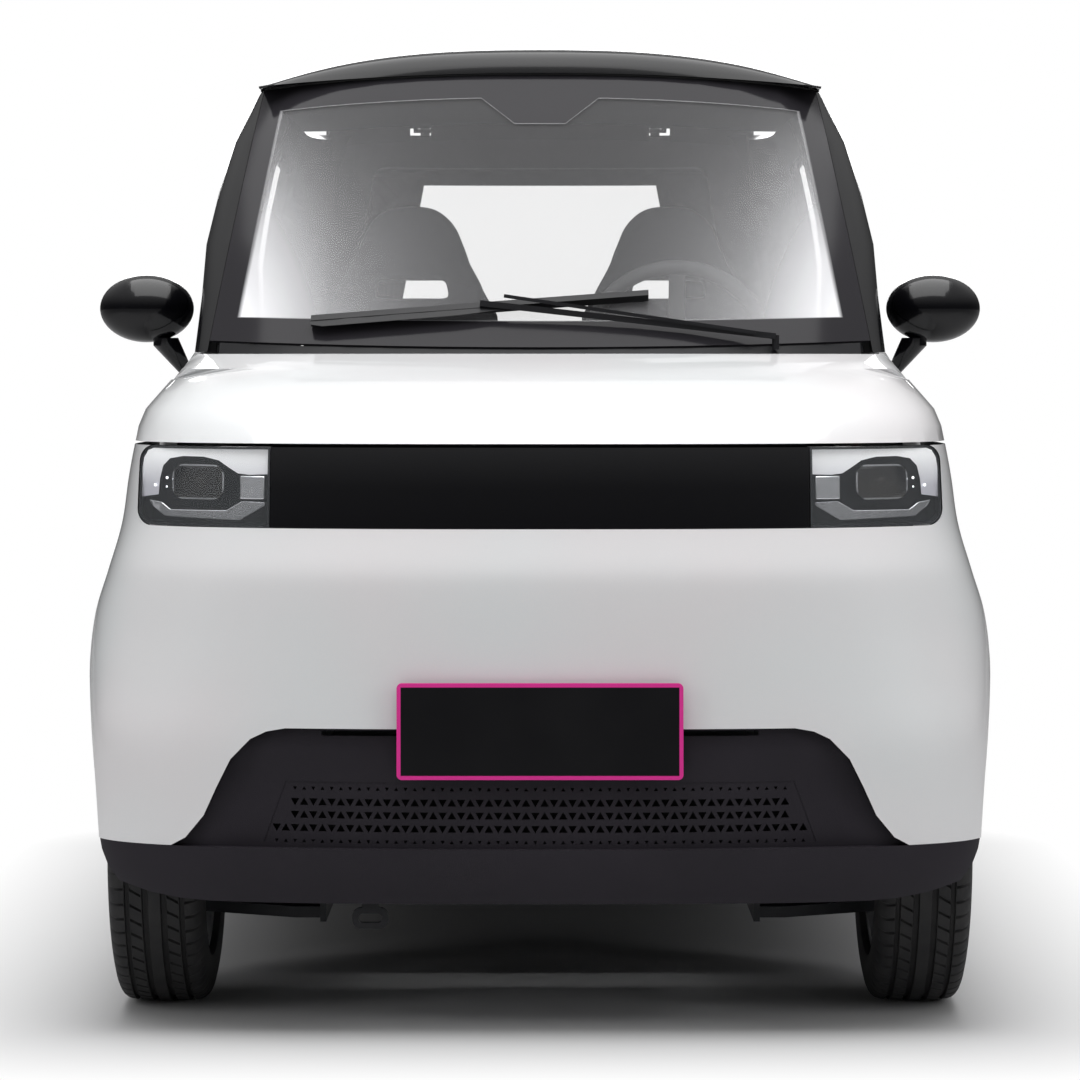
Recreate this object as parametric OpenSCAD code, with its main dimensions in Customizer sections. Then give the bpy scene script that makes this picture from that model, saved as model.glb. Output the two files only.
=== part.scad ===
// Electric microcar with two seats: a whole vehicle as named pieces at real size, in millimetres.
// The nose points along -Y, +X is the car's left side, and the floor is at z = 0.
// Every outer panel lies on one skin, skin(s, z), which a few short rows of distances shape by height.

/* [Overall] */
// Length over the plate board and the rear bumper
body_l = 2700; // [2620:10:2800]
// Width over the wheel flares
body_w = 1490; // [1470:5:1530]
// Height of the roof's top
roof_h = 1640; // [1625:5:1680]
// Distance between the axles
wheelbase = 1800; // [1770:10:1830]
// Distance from the front-most plane back to the front axle
front_overhang = 480; // [475:5:500]

/* [Heights] */
// Lower edge of the bumpers and sills
clear_z = 200; // [190:5:210]
// Lower edge of the painted panels
sill_z = 305; // [300:5:315]
// Top of the lamp band
band_top_z = 925; // [915:5:935]
// Height of the lamp band
band_h = 126; // [110:2:140]
// Top of the painted body, under the windows
belt_z = 1076; // [1066:5:1086]
// Edge of the roof panel above the doors
eave_z = 1556; // [1540:4:1564]
// Middle of the roof's front edge, at the top of the windscreen
header_z = 1578; // [1572:2:1590]

/* [Panels] */
// Thickness of the outer panels
panel_t = 4; // [3:0.5:6]
// Thickness of the window frames and the tailgate
frame_t = 22; // [18:1:26]
// Thickness of a door below its window
door_t = 34; // [30:1:38]
// Thickness of the glass
glass_t = 4; // [3:0.5:5]
// Joint between two fixed panels
seam = 0.8; // [0.5:0.1:1]
// Gap round the doors, the bonnet and the tailgate
shut_gap = 8; // [7:0.5:9]
// Gap between the lamp band and the bonnet's lower edge
lid_gap = 5.5; // [5:0.5:7]
// Gap between a pane or a trim piece and its frame
seat_gap = 0.3; // [0.2:0.1:0.5]

/* [Doors] */
// Front edge of the doors behind the front-most plane
door_front = 830; // [826:2:850]
// Length of the doors
door_l = 890; // [860:5:910]
// Setback of the door's front edge at the top of its window
door_rake = 275; // [265:5:290]
// Width of the frame round the door's window
door_rim = 58; // [50:1:64]
// Distance from the door's front edge back to its hinge line
hinge_back = 38; // [36:1:42]
// Depth of the hinge line under the skin at its widest
hinge_in = 15; // [13:1:16]
// Lean of the hinge line towards the middle of the car, in degrees
hinge_lean = 3; // [2:0.5:4]

/* [Wheels] */
// Outer radius of the tyres
tyre_r = 283; // [278:1:285]
// Width of a tyre at its bulge
tyre_w = 157; // [150:1:160]
// Width of the tread
tread_w = 140; // [130:1:142]
// Depth of the tread's four grooves
groove_d = 7; // [5:0.5:8]
// Width of a groove
groove_w = 8; // [6:0.5:10]
// Radius of the rim's bead seat
bead_r = 190.5; // [188:0.5:192]
// Width between the rim's flanges
rim_w = 114; // [108:1:118]
// Distance between the left and right wheel centres
track = 1234; // [1226:2:1240]
// Distance from a front wheel's centre plane in to its kingpin
king_off = 42; // [38:1:46]
// Radius of the wheel arches
arch_r = 315; // [313:1:320]
// Widening of the body over the wheels
flare_w = 41; // [36:1:44]

/* [Front] */
// Half-width of the lamp band
band_half = 648; // [640:2:652]
// Half-width of the black middle of the band
band_mid = 424; // [410:2:436]
// Width of the number plate's board
plate_w = 443; // [400:1:520]
// Height of the number plate's board
plate_h = 149; // [110:1:160]
// Thickness of the board
plate_t = 8; // [6:1:10]
// Middle of the board above the floor
plate_z = 488; // [480:2:500]

/* [Cabin] */
// Middle of each seat from the middle of the car
seat_x = 260; // [250:2:270]
// Width of a seat
seat_w = 400; // [380:5:410]
// Top of the headrests
headrest_z = 1404; // [1380:4:1420]
// Radius of the steering wheel
wheel_r = 175; // [165:1:185]
// Thickness of the steering wheel's rim
wheel_tube = 26; // [22:1:30]
// Tilt of the steering column, in degrees
column_tilt = 25; // [22:1:28]

/* [Hidden] */
$fn = 64;

// Places worked out from the driving sizes
front_y = -body_l / 2;
rear_y = body_l / 2;
front_axle = front_y + front_overhang;
rear_axle_y = front_axle + wheelbase;
hub_x = track / 2;
hub_z = tyre_r;
king_x = hub_x - king_off;
band_z = band_top_z - band_h;
door_y0 = front_y + door_front;
door_y1 = door_y0 + door_l;
door_top = eave_z - 18;
bonnet_end = front_y + 580;
squareness = 2.7;
tail_corner = 300;
flare_reach = 430;
insert_top = sill_z + 190;

// The drawn heights stand for the named ones, so that the rows below follow any change of them
function drawn(z) = lookup(z, [[0, 0], [clear_z, 200], [sill_z, 305], [band_top_z, 925],
    [belt_z, 1076], [header_z, 1578], [roof_h, 1640]]);

// Rows of [drawn height, distance]: the side's tuck, the nose, the screen, the tail, the corner
// and the flare
tuck_rows = [[200, 14], [305, 4], [450, 0], [560, 0], [650, 3], [731, 11], [820, 20], [870, 25],
    [925, 34], [976, 45], [1015, 73], [1076, 113], [1268, 118], [1369, 134], [1464, 156],
    [1524, 176], [1578, 211]];
nose_rows = [[200, 45], [252, 20], [305, 10], [400, 12], [500, 20], [600, 30], [700, 42], [800, 54],
    [860, 62], [925, 76], [960, 108], [1000, 176], [1040, 286], [1076, 430]];
screen_rows = [[1076, 430], [1200, 568], [1400, 790], [1578, 982]];
tail_rows = [[200, 40], [252, 13], [302, 0], [400, 1], [500, 4], [700, 14], [925, 34], [1076, 60],
    [1268, 110], [1464, 175], [1578, 235]];
corner_rows = [[200, 350], [600, 360], [800, 390], [925, 400], [1000, 340], [1076, 240],
    [1300, 200], [1578, 160]];
flare_rows = [[200, 0.8], [305, 0.93], [450, 1], [560, 0.98], [650, 0.78], [720, 0.38],
    [780, 0.08], [830, 0], [1640, 0]];

function mix(a, b, t) = a + (b - a) * t;
function knot(rows, x, i = 0) =
    i >= len(rows) - 2 || x < rows[i + 1][0] ? i : knot(rows, x, i + 1);
function slope(rows, i) = let (a = max(i - 1, 0), b = min(i + 1, len(rows) - 1))
    (rows[b][1] - rows[a][1]) / (rows[b][0] - rows[a][0]);
// A smooth curve through the rows
function curve(rows, x) = let (i = knot(rows, x), h = rows[i + 1][0] - rows[i][0],
    t = (x - rows[i][0]) / h)
    mix(rows[i][1], rows[i + 1][1], t * t * (3 - 2 * t))
    + h * t * (1 - t) * ((1 - t) * slope(rows, i) - t * slope(rows, i + 1));

function half_side(z) = body_w / 2 - flare_w - curve(tuck_rows, drawn(z));
function nose_y(z) = front_y + curve(z > belt_z ? screen_rows : nose_rows, drawn(z));
function tail_y(z) = rear_y - curve(tail_rows, drawn(z));
function nose_corner(z) = curve(corner_rows, drawn(z));
function swell(t) = abs(t) < 1 ? pow(cos(90 * t), 2) : 0;
function flare(y, z) = flare_w * curve(flare_rows, drawn(z))
    * (swell((y - front_axle) / flare_reach) + swell((y - rear_axle_y) / flare_reach));

// Across and back over a rounded corner, both from 0 to 1
function round_x(t) = pow(sin(90 * t), 2 / squareness);
function round_y(t) = 1 - pow(cos(90 * t), 2 / squareness);
// The skin at height z: s runs 0 at the nose, 1 to 2 along the side, 3 at the tail; -s is the right side
function skin(s, z) = let (a = abs(s), w = half_side(z), ya = nose_y(z) + nose_corner(z),
    yb = tail_y(z) - tail_corner,
    x = a < 1 ? w * round_x(a) : a < 2 ? w : w * round_x(3 - a),
    y = a < 1 ? nose_y(z) + nose_corner(z) * round_y(a) : a < 2 ? mix(ya, yb, a - 1)
        : tail_y(z) - tail_corner * round_y(3 - a),
    wide = x + flare(y, z) * pow(x / w, 4))
    [s < 0 ? -wide : wide, y, z];
function s_at_y(y, z) = let (ya = nose_y(z) + nose_corner(z), yb = tail_y(z) - tail_corner)
    y < ya ? s_in_corner((ya - y) / nose_corner(z)) : y > yb ? 3 - s_in_corner((y - yb) / tail_corner)
    : 1 + (y - ya) / (yb - ya);
function s_in_corner(q) = acos(pow(min(q, 1), squareness / 2)) / 90;
function s_at_x(x, z) = asin(pow(x / half_side(z), squareness / 2)) / 90;
// The skin's y over a point of the front or the rear view
function depth(x, z) = 1 - pow(1 - pow(min(abs(x) / half_side(z), 0.999), squareness), 1 / squareness);
function nose_at(x, z) = nose_y(z) + nose_corner(z) * depth(x, z);
function tail_at(x, z) = tail_y(z) - tail_corner * depth(x, z);
// The skin round the nose or the tail, u from 0 to 1 between the side edges at y_end
function nose_wrap(u, z, y_end) = let (a = abs(2 * u - 1), k = 0.7, end = s_at_y(y_end, z),
    s = end < 1 ? a * end : a < k ? a / k : mix(1, end, (a - k) / (1 - k)))
    skin(u < 0.5 ? -s : s, z);
function tail_wrap(u, z, y_end) = let (a = abs(2 * u - 1), k = 0.7, end = s_at_y(y_end, z),
    s = end > 2 ? 3 - a * (3 - end) : a < k ? 3 - a / k : mix(2, end, (a - k) / (1 - k)))
    skin(u < 0.5 ? s : -s, z);

function grid(f, nu, nv) = [for (j = [0:nv]) [for (i = [0:nu]) f(i / nu, j / nv)]];
function normal(g, i, j) = let (nv = len(g) - 1, nu = len(g[0]) - 1,
    du = g[j][min(i + 1, nu)] - g[j][max(i - 1, 0)],
    dv = g[min(j + 1, nv)][i] - g[max(j - 1, 0)][i], c = cross(du, dv)) c / norm(c);
function inset(g, t) = [for (j = [0:len(g) - 1]) [for (i = [0:len(g[0]) - 1])
    g[j][i] - (is_list(t) ? t[j] : t) * normal(g, i, j)]];
// A closed solid between an outer and an inner grid of points
module between(outer, inner) {
    nv = len(outer) - 1;
    nu = len(outer[0]) - 1;
    w = nu + 1;
    n = w * (nv + 1);
    top = [for (j = [0:nv - 1]) for (i = [0:nu - 1]) let (a = j * w + i)
        each [[a, a + w, a + w + 1], [a, a + w + 1, a + 1]]];
    back = [for (j = [0:nv - 1]) for (i = [0:nu - 1]) let (a = n + j * w + i)
        each [[a, a + w + 1, a + w], [a, a + 1, a + w + 1]]];
    low = [for (i = [0:nu - 1]) each [[i, i + 1, n + i + 1], [i, n + i + 1, n + i]]];
    high = [for (i = [0:nu - 1]) let (a = nv * w + i)
        each [[a, n + a + 1, a + 1], [a, n + a, n + a + 1]]];
    start = [for (j = [0:nv - 1]) let (a = j * w)
        each [[a, n + a, n + a + w], [a, n + a + w, a + w]]];
    end = [for (j = [0:nv - 1]) let (a = j * w + nu)
        each [[a, n + a + w, n + a], [a, a + w, n + a + w]]];
    polyhedron([each for (r = outer) r, each for (r = inner) r],
        concat(top, back, low, high, start, end));
}
// A panel of thickness t under the surface f(u, v), from depth d0
module panel(f, nu, nv, t, d0 = 0) {
    g = grid(f, nu, nv);
    between(d0 == 0 ? g : inset(g, d0), inset(g, d0 + t));
}
module both() {
    children();
    mirror([1, 0, 0]) children();
}
// A solid seen from the front: an outline in X and Z, from y0 to y1
module from_front(y0, y1) translate([0, y1, 0]) rotate([90, 0, 0]) linear_extrude(y1 - y0) children();
// A solid seen from the left side: an outline in Y and Z, from x0 to x1
module from_side(x0, x1) translate([x0, 0, 0]) rotate([90, 0, 90]) linear_extrude(x1 - x0) children();
// A tube or rod along X with its middle at [x, y, z]
module along_x(r, l, at) translate(at) rotate([0, 90, 0]) cylinder(r = r, h = l, center = true);
module box(x, y, z) translate([x[0], y[0], z[0]]) cube([x[1] - x[0], y[1] - y[0], z[1] - z[0]]);
// A flat bar between two points
module bar(a, b, w, t) {
    d = b - a;
    flat = norm([d[0], d[1]]);
    translate(a) rotate([0, -atan2(d[2], flat), atan2(d[1], d[0])])
        translate([0, -w / 2, -t / 2]) cube([norm(d), w, t]);
}
// A rounded rectangle around its middle
module pill(w, h, r) offset(r) square([w - 2 * r, h - 2 * r], center = true);

// Structure and running gear
floor_z = 215;
floor_t = 15;
tub_x = 378;
well_r = arch_r + 15;
arm_low = hub_z - 125;
arm_high = hub_z + 118;
deck_z = 420;
bulk_y = front_axle + 230;
bulk_top = 821.6 - seat_gap;
rail_x = 350;
tower_z = 560;
pad_r = 32;
pad_h = 12;

hinge_zs = [500, 700];
hinge_y = door_y0 + hinge_back;
pin_r = 5;
fit = 0.05;
// Half-width of the hinge line at height z, and a place along it
function hinge_x(z) = body_w / 2 - flare_w + 3 - hinge_in - (z - 500) * tan(hinge_lean);
module on_hinge(z) translate([hinge_x(z), hinge_y, z]) rotate([0, -hinge_lean, 0]) children();

// The floor tub with its side beams, bulkhead, side rails, spring towers, rear deck and jacking pads
module chassis() color("#3b3c40") {
    mid0 = front_axle + well_r + 12;
    mid1 = rear_axle_y - well_r - 12;
    tail = rear_y - 110;
    box([-tub_x, tub_x], [bulk_y, mid0], [floor_z, floor_z + floor_t]);
    box([-640, 640], [mid0, mid1], [floor_z, floor_z + floor_t]);
    box([-tub_x, tub_x], [bulk_y, bulk_y + 6], [floor_z, bulk_top]);
    both() {
        box([tub_x, tub_x + 6], [bulk_y, mid0 + 6], [floor_z, bulk_top]);
        box([tub_x, 600], [mid0, mid0 + 6], [floor_z, bulk_top]);
        box([570, 640], [mid0 + 6, mid1], [floor_z + floor_t, sill_z + 5]);
        box([rail_x - 60, rail_x], [front_y + 95, bulk_y], [230, 320]);
        box([rail_x, 480], [front_axle - 40, front_axle + 40], [tower_z, tower_z + 12]);
        box([rail_x, rail_x + 10], [front_axle - 115, front_axle + 115], [arm_low - 15, tower_z]);
        box([446, 486], [mid1, tail], [320, deck_z]);
        for (y = [-200, 250]) box([640, half_side(sill_z - 20) - panel_t - 2 * seat_gap], [y - 15, y + 15],
            [sill_z - 20, sill_z - 12]);
        box([590, 632], [mid0, mid0 + 28], [floor_z + floor_t, 720]);
        for (z = hinge_zs) {
            box([625, hinge_x(z) + 5.5], [hinge_y - 7.5, hinge_y + 7.5], [z, z + 12]);
            box([590, 632], [mid0 + 28, hinge_y + 7.5], [z, z + 12]);
            on_hinge(z) cylinder(r = pin_r, h = 34);
        }
        for (y = [mid0 + 120, mid1 - 120]) translate([605, y, floor_z - pad_h]) cylinder(r = pad_r, h = pad_h);
    }
    box([-rail_x, rail_x], [front_y + 75, front_y + 95], [230, 340]);
    box([-490, 490], [mid1, mid1 + 8], [floor_z, deck_z]);
    box([-490, 490], [mid1, tail], [deck_z, deck_z + 10]);
    box([-490, 490], [tail, tail + 8], [320, deck_z + 10]);
}

module battery_pack() color("#5b5f66") box([-330, 330], [60, 560], [floor_z + floor_t, floor_z + 190]);

// Motor and gearbox as one plain block between the front wheels
module drive_unit() color("#8a8d92") {
    ear = rail_x - 60 - seat_gap;
    box([-160, 230], [front_axle - 110, front_axle + 110], [190, 400]);
    box([-ear, ear], [front_axle - 30, front_axle + 30], [240, 300]);
    along_x(95, 120, [-220, front_axle, 300]);
}

// An A-shaped arm, flat, from two pivots on the chassis to the kingpin's eye
in_x = rail_x + 10 + seat_gap;
leg_x = 458;
king_r = 9.2;
module arm(z, t) translate([0, front_axle, z - t / 2]) linear_extrude(t) difference() {
    polygon([[in_x, -110], [in_x, -70], [425, 0], [in_x, 70], [in_x, 110], [400, 110],
        [king_x + 14, 18], [king_x + 20, 0], [king_x + 14, -18], [400, -110]]);
    translate([king_x, 0]) circle(r = king_r);
}
// Two wishbones a side with their kingpins, and the spring legs between them
module front_suspension() color("#4a4c50") both() {
    arm(arm_low, 18);
    difference() {
        arm(arm_high, 14);
        translate([leg_x, front_axle, arm_high - 20]) cylinder(r = 40, h = 40);
    }
    translate([king_x, front_axle, arm_low - 12]) cylinder(r = king_r, h = 44);
    translate([king_x, front_axle, arm_high - 32]) cylinder(r = king_r, h = 44);
    translate([leg_x, front_axle, arm_low + 9]) cylinder(r = 21, h = 100);
    translate([leg_x, front_axle, arm_low + 109]) cylinder(r = 27, h = tower_z - arm_low - 109 - seat_gap);
    for (i = [0:6]) translate([leg_x, front_axle, arm_low + 130 + 36 * i])
        rotate_extrude() translate([28, 0]) circle(r = 6, $fn = 16);
}

stub_r = 17.5;
// A stub axle along X from x0 into the rim's hub
module stub(x0, y) along_x(stub_r, hub_x + 24 - x0, [(hub_x + 24 + x0) / 2, y, hub_z]);
// The upright between the wishbones, turning on the kingpins, with its stub axle
module knuckle() difference() {
    union() {
        box([king_x - 17, king_x + 17], [front_axle - 22, front_axle + 22],
            [arm_low + 13, arm_high - 11]);
        along_x(34, 30, [king_x + 15, front_axle, hub_z]);
        stub(king_x + 10, front_axle);
        box([king_x - 14, king_x + 14], [front_axle + 20, front_axle + 120], [hub_z - 70, hub_z - 54]);
    }
    translate([king_x, front_axle, arm_low]) cylinder(r = king_r + fit, h = 33);
    translate([king_x, front_axle, arm_high - 33]) cylinder(r = king_r + fit, h = 33);
}
module knuckle_left() color("#6d6f73") knuckle();
module knuckle_right() color("#6d6f73") mirror([1, 0, 0]) knuckle();

// A twist beam: the cross tube, the trailing arms and the stub axles
module rear_axle() color("#4a4c50") {
    along_x(30, 860, [0, rear_axle_y - 210, hub_z]);
    both() {
        box([405, 440], [rear_axle_y - 300, rear_axle_y + 50], [hub_z - 26, hub_z + 26]);
        box([440, hub_x - 45], [rear_axle_y - 34, rear_axle_y + 34], [hub_z - 34, hub_z + 34]);
        stub(hub_x - 50, rear_axle_y);
        box([350, 405], [rear_axle_y - 30, rear_axle_y + 50], [hub_z - 26, hub_z - 10]);
        translate([372, rear_axle_y + 10, hub_z - 10]) cylinder(r = 30, h = deck_z - hub_z + 10 - seat_gap);
    }
}

function arc(c, r, a0, a1, n = 6) = [for (i = [0:n]) let (a = mix(a0, a1, i / n))
    [c[0] + r * cos(a), c[1] + r * sin(a)]];
// The tyre's section, radius across and width up: half of the outline, then its mirror image
function tyre_side() = concat([[tyre_r, tread_w / 2 - 16]],
    arc([tyre_r - 22, tread_w / 2 - 18], 22, 10, 75, 4), arc([tyre_r - 48, 0], tyre_w / 2, 80, 110, 5),
    [[bead_r + 22, rim_w / 2 + 8], [bead_r + 14 + seat_gap, rim_w / 2 + 5],
    [bead_r + 14 + seat_gap, rim_w / 2 - seat_gap], [bead_r + seat_gap, rim_w / 2 - seat_gap],
    [bead_r + seat_gap, rim_w / 2 - 14],
    [bead_r + 20, rim_w / 2 - 15], [bead_r + 32, tyre_w / 2 - 14], [tyre_r - 32, tyre_w / 2 - 13],
    [tyre_r - 13, tread_w / 2 - 24]]);
module tyre() rotate_extrude(convexity = 6) difference() {
    side = tyre_side();
    polygon(concat(side, [for (i = [len(side) - 1:-1:0]) [side[i][0], -side[i][1]]]));
    for (k = [-1.5, -0.5, 0.5, 1.5]) translate([tyre_r - groove_d, k * tread_w / 4.6 - groove_w / 2])
        square([20, groove_w]);
}
// The rim: barrel with its two flanges, a dished disc with eight windows, the hub and its cap
module rim() {
    w = rim_w / 2;
    rotate_extrude(convexity = 6) polygon([[bead_r - 6, -w - 6], [bead_r + 14, -w - 6],
        [bead_r + 14, -w], [bead_r, -w], [bead_r, -w + 16], [bead_r - 18, -w + 26],
        [bead_r - 18, w - 34], [bead_r, w - 18], [bead_r, w], [bead_r + 14, w],
        [bead_r + 14, w + 6], [bead_r - 6, w + 6], [bead_r - 6, w - 16], [bead_r - 24, w - 32],
        [bead_r - 24, -w + 24], [bead_r - 6, -w + 14]]);
    difference() {
        rotate_extrude(convexity = 6) polygon([[stub_r + fit, -6], [42, -6], [42, 14], [70, 22],
            [bead_r - 20, 10], [bead_r - 20, 18], [74, 30], [40, 26], [stub_r + fit, 26]]);
        for (a = [0:45:315]) rotate(a) translate([118, 0, 0]) cylinder(r = 22, h = 40);
        for (a = [0:90:270]) rotate(a + 22) translate([31, 0, -10]) cylinder(r = 5.5, h = 60);
    }
    translate([0, 0, 26]) cylinder(r = 24, h = 6);
}
module at_wheel(side, y) translate([side * hub_x, y, hub_z]) rotate([0, side * 90, 0]) children();
module rim_front_left() color("#b9bcc0") at_wheel(1, front_axle) rim();
module rim_front_right() color("#b9bcc0") at_wheel(-1, front_axle) rim();
module rim_rear_left() color("#b9bcc0") at_wheel(1, rear_axle_y) rim();
module rim_rear_right() color("#b9bcc0") at_wheel(-1, rear_axle_y) rim();
module tyre_front_left() color("#1c1c1e") at_wheel(1, front_axle) tyre();
module tyre_front_right() color("#1c1c1e") at_wheel(-1, front_axle) tyre();
module tyre_rear_left() color("#1c1c1e") at_wheel(1, rear_axle_y) tyre();
module tyre_rear_right() color("#1c1c1e") at_wheel(-1, rear_axle_y) tyre();

// One wheelhouse: the upper half of a tube between x0 and x1
module liner(y, x0, x1) difference() {
    along_x(well_r + 4, x1 - x0, [(x0 + x1) / 2, y, hub_z]);
    along_x(well_r, x1 - x0 + 2, [(x0 + x1) / 2, y, hub_z]);
    box([x0 - 1, x1 + 1], [y - 400, y + 400], [hub_z - 400, hub_z + 10]);
}
// The inside of the body in plan, at the height of the wheelhouses, moved in by g
module plan_shape(g) offset(delta = -g) polygon([for (k = [-30:29]) let (p = skin(k / 10, sill_z + 60))
    [p[0], p[1]]]);
module wheel_liners() color("#242427") both() intersection() {
    union() {
        liner(front_axle, tub_x + 6 + seat_gap, 690);
        liner(rear_axle_y, 490 + seat_gap, 690);
    }
    translate([0, 0, hub_z]) linear_extrude(400) plan_shape(14);
}

// Painted body
module arches() both() for (y = [front_axle, rear_axle_y]) along_x(arch_r, 500, [800, y, hub_z]);
// The dark insert of the bumper as the front view shows it, grown by g
module insert_shape(g = 0) offset(g) offset(12) offset(-12) polygon(concat(
    [for (m = [[-1, 1], [1, -1]]) each [for (i = [0:5]) let (k = m[0] < 0 ? i : 5 - i)
        [m[0] * [590, 548, 522, 500, 478, 430][k], sill_z + [-8, 18, 50, 96, 146, 186][k]]]]));
// The lamp band as the front view shows it, with round ends
module band_shape(w, g = 0) offset(g) translate([0, band_z + band_h / 2]) pill(2 * w, band_h, 26);
module front_body() color("#f2f1f4") difference() {
    panel(function (u, v) nose_wrap(u, mix(sill_z, belt_z, v), door_y0 - shut_gap), 32, 11, panel_t);
    arches();
    from_front(front_y - 10, front_y + 300) insert_shape(seam);
    from_front(front_y - 10, front_y + 460) band_shape(band_half, seam);
    box([-700, 700], [front_y - 10, bonnet_end], [band_top_z, belt_z + 10]);
    box([-band_half + 30, band_half - 30], [front_y - 10, front_y + 460], [band_top_z - 30, belt_z]);
}
// The bonnet covers the nose above the lamps and ends ahead of the windscreen's pillars
module bonnet() color("#f2f1f4") difference() {
    panel(function (u, v) nose_wrap(u, mix(band_top_z + lid_gap - 4, belt_z - 3, sin(90 * v)),
        bonnet_end - shut_gap), 28, 8, panel_t);
    box([-800, 800], [front_y, bonnet_end], [band_top_z - 20, band_top_z + lid_gap]);
}
module front_band() color("#0c0c0e") panel(
    function (u, v) let (x = mix(-band_mid, band_mid, u), z = mix(band_z, band_top_z, v))
        [x, nose_at(x, z), z], 16, 4, panel_t, 1);
// A solid under the nose's skin between depths d0 and d1, measured straight back
module nose_slab(x0, x1, z0, z1, d0, d1, nu = 10, nv = 3) {
    g = grid(function (u, v) let (x = mix(x0, x1, u), z = mix(z0, z1, v)) [x, nose_at(x, z), z], nu, nv);
    between([for (r = g) [for (p = r) p + [0, d0, 0]]], [for (r = g) [for (p = r) p + [0, d1, 0]]]);
}
lamp_x0 = band_mid + seam;
lamp_x1 = band_half - 1;
module lamp_shape(g = 0) intersection() {
    band_shape(band_half - 1, g);
    translate([lamp_x0 - g, band_z - 10]) square([300, band_h + 20]);
}
// The lamp's tray with its round-cornered projector, square marker and bent light bar
module headlamps() color("#2b2c30") both() {
    difference() {
        intersection() {
            nose_slab(lamp_x0, lamp_x1, band_z - 1, band_top_z + 1, 5, 62);
            from_front(front_y, front_y + 500) lamp_shape(-0.5);
        }
        difference() {
            nose_slab(lamp_x0 - 2, lamp_x1 + 1, band_z - 2, band_top_z + 2, 4, 56);
            from_front(front_y, front_y + 500) difference() {
                translate([lamp_x0 - 10, band_z - 20]) square([300, band_h + 40]);
                lamp_shape(-4);
            }
        }
    }
}
module headlamp_lenses() color("#dfe6ee") both() intersection() {
    nose_slab(lamp_x0, lamp_x1, band_z - 1, band_top_z + 1, 0.5, 4.2, 14, 4);
    from_front(front_y, front_y + 500) lamp_shape(-0.1);
}

// Bumpers, grille and plate
module lip_shape() offset(60) offset(-60) polygon([[-760, sill_z - seam], [760, sill_z - seam],
    [700, sill_z - 60], [600, clear_z - 1], [-600, clear_z - 1], [-700, sill_z - 60]]);
module front_bumper() color("#3a363c") {
    difference() {
        panel(function (u, v) nose_wrap(u, mix(clear_z, sill_z - seam, v), front_axle - 150),
            26, 4, panel_t);
        arches();
    }
    difference() {
        intersection() {
            nose_slab(-592, 592, sill_z - 12, insert_top, 16, 22, 16, 4);
            from_front(front_y - 20, front_y + 400) insert_shape(-0.3);
        }
        from_front(front_y - 20, front_y + 400) grille_shape(0);
    }
    nose_slab(-560, 560, sill_z - 10, sill_z - seam - 1, 1, 22, 12, 1);
}
module grille_shape(g) offset(g) polygon([[-433, sill_z + 4], [433, sill_z + 4],
    [398, sill_z + 103], [-398, sill_z + 103]]);
module front_grille() color("#2c292e") intersection() {
    nose_slab(-440, 440, sill_z, sill_z + 110, 17, 20, 14, 2);
    from_front(front_y - 20, front_y + 400) grille_shape(-seat_gap);
}
module front_plate() color("#141417") {
    from_front(front_y, front_y + plate_t) translate([0, plate_z]) pill(plate_w, plate_h, 8);
    for (x = [-150, 150]) from_front(front_y + plate_t, nose_at(x, plate_z) - seat_gap)
        translate([x, plate_z]) square([60, 60], center = true);
}
module tow_loop() color("#2a2a2c") {
    y = front_y + 78;
    from_front(y - 14, y) translate([-265, 191]) difference() {
        pill(56, 32, 13);
        pill(36, 14, 6);
    }
    box([-278, -252], [y - 14, y + 3], [200, 230 - seat_gap]);
}
module sills() color("#3a363c") both() difference() {
    panel(function (u, v) skin(s_at_y(mix(front_axle + 250, rear_axle_y - 250, u),
        mix(clear_z, sill_z - seam, v)), mix(clear_z, sill_z - seam, v)), 14, 3, panel_t);
    arches();
}
module rear_body() color("#f2f1f4") difference() {
    panel(function (u, v) tail_wrap(u, mix(sill_z, belt_z, v), door_y1 + shut_gap), 32, 10, panel_t);
    arches();
    from_front(rear_y - 500, rear_y + 10) band_shape(band_half - 20, seam);
    from_front(rear_y - 500, rear_y + 10) tailgate_shape(shut_gap);
    from_front(rear_y - 200, rear_y + 10) translate([0, sill_z]) pill(1080, 2 * 150, 60);
}
module rear_band() color("#0c0c0e") panel(
    function (u, v) let (x = mix(band_mid, -band_mid, u), z = mix(band_z, band_top_z, v))
        [x, tail_at(x, z), z], 16, 4, panel_t, 1);
module tail_lamps() color("#8e1019") both() intersection() {
    g = grid(function (u, v) let (x = mix(lamp_x1 - 20, lamp_x0, u), z = mix(band_z - 1, band_top_z + 1, v))
        [x, tail_at(x, z), z], 10, 3);
    between([for (r = g) [for (p = r) p - [0, 0.5, 0]]], [for (r = g) [for (p = r) p - [0, 40, 0]]]);
    from_front(rear_y - 500, rear_y) intersection() {
        band_shape(band_half - 21, -0.5);
        translate([lamp_x0, band_z - 10]) square([300, band_h + 20]);
    }
}
module rear_bumper() color("#3a363c") {
    difference() {
        panel(function (u, v) tail_wrap(u, mix(clear_z, sill_z - seam, v), rear_axle_y + 150),
            26, 4, panel_t);
        arches();
    }
    intersection() {
        g = grid(function (u, v) let (x = mix(545, -545, u), z = mix(sill_z - 12, sill_z + 160, v))
            [x, tail_at(x, z), z], 14, 3);
        between([for (r = g) [for (p = r) p - [0, 2, 0]]], [for (r = g) [for (p = r) p - [0, 8, 0]]]);
        from_front(rear_y - 300, rear_y + 10) translate([0, sill_z])
            pill(1080 - 2 * seam, 300 - 2 * seam, 60 - seam);
    }
}

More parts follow.
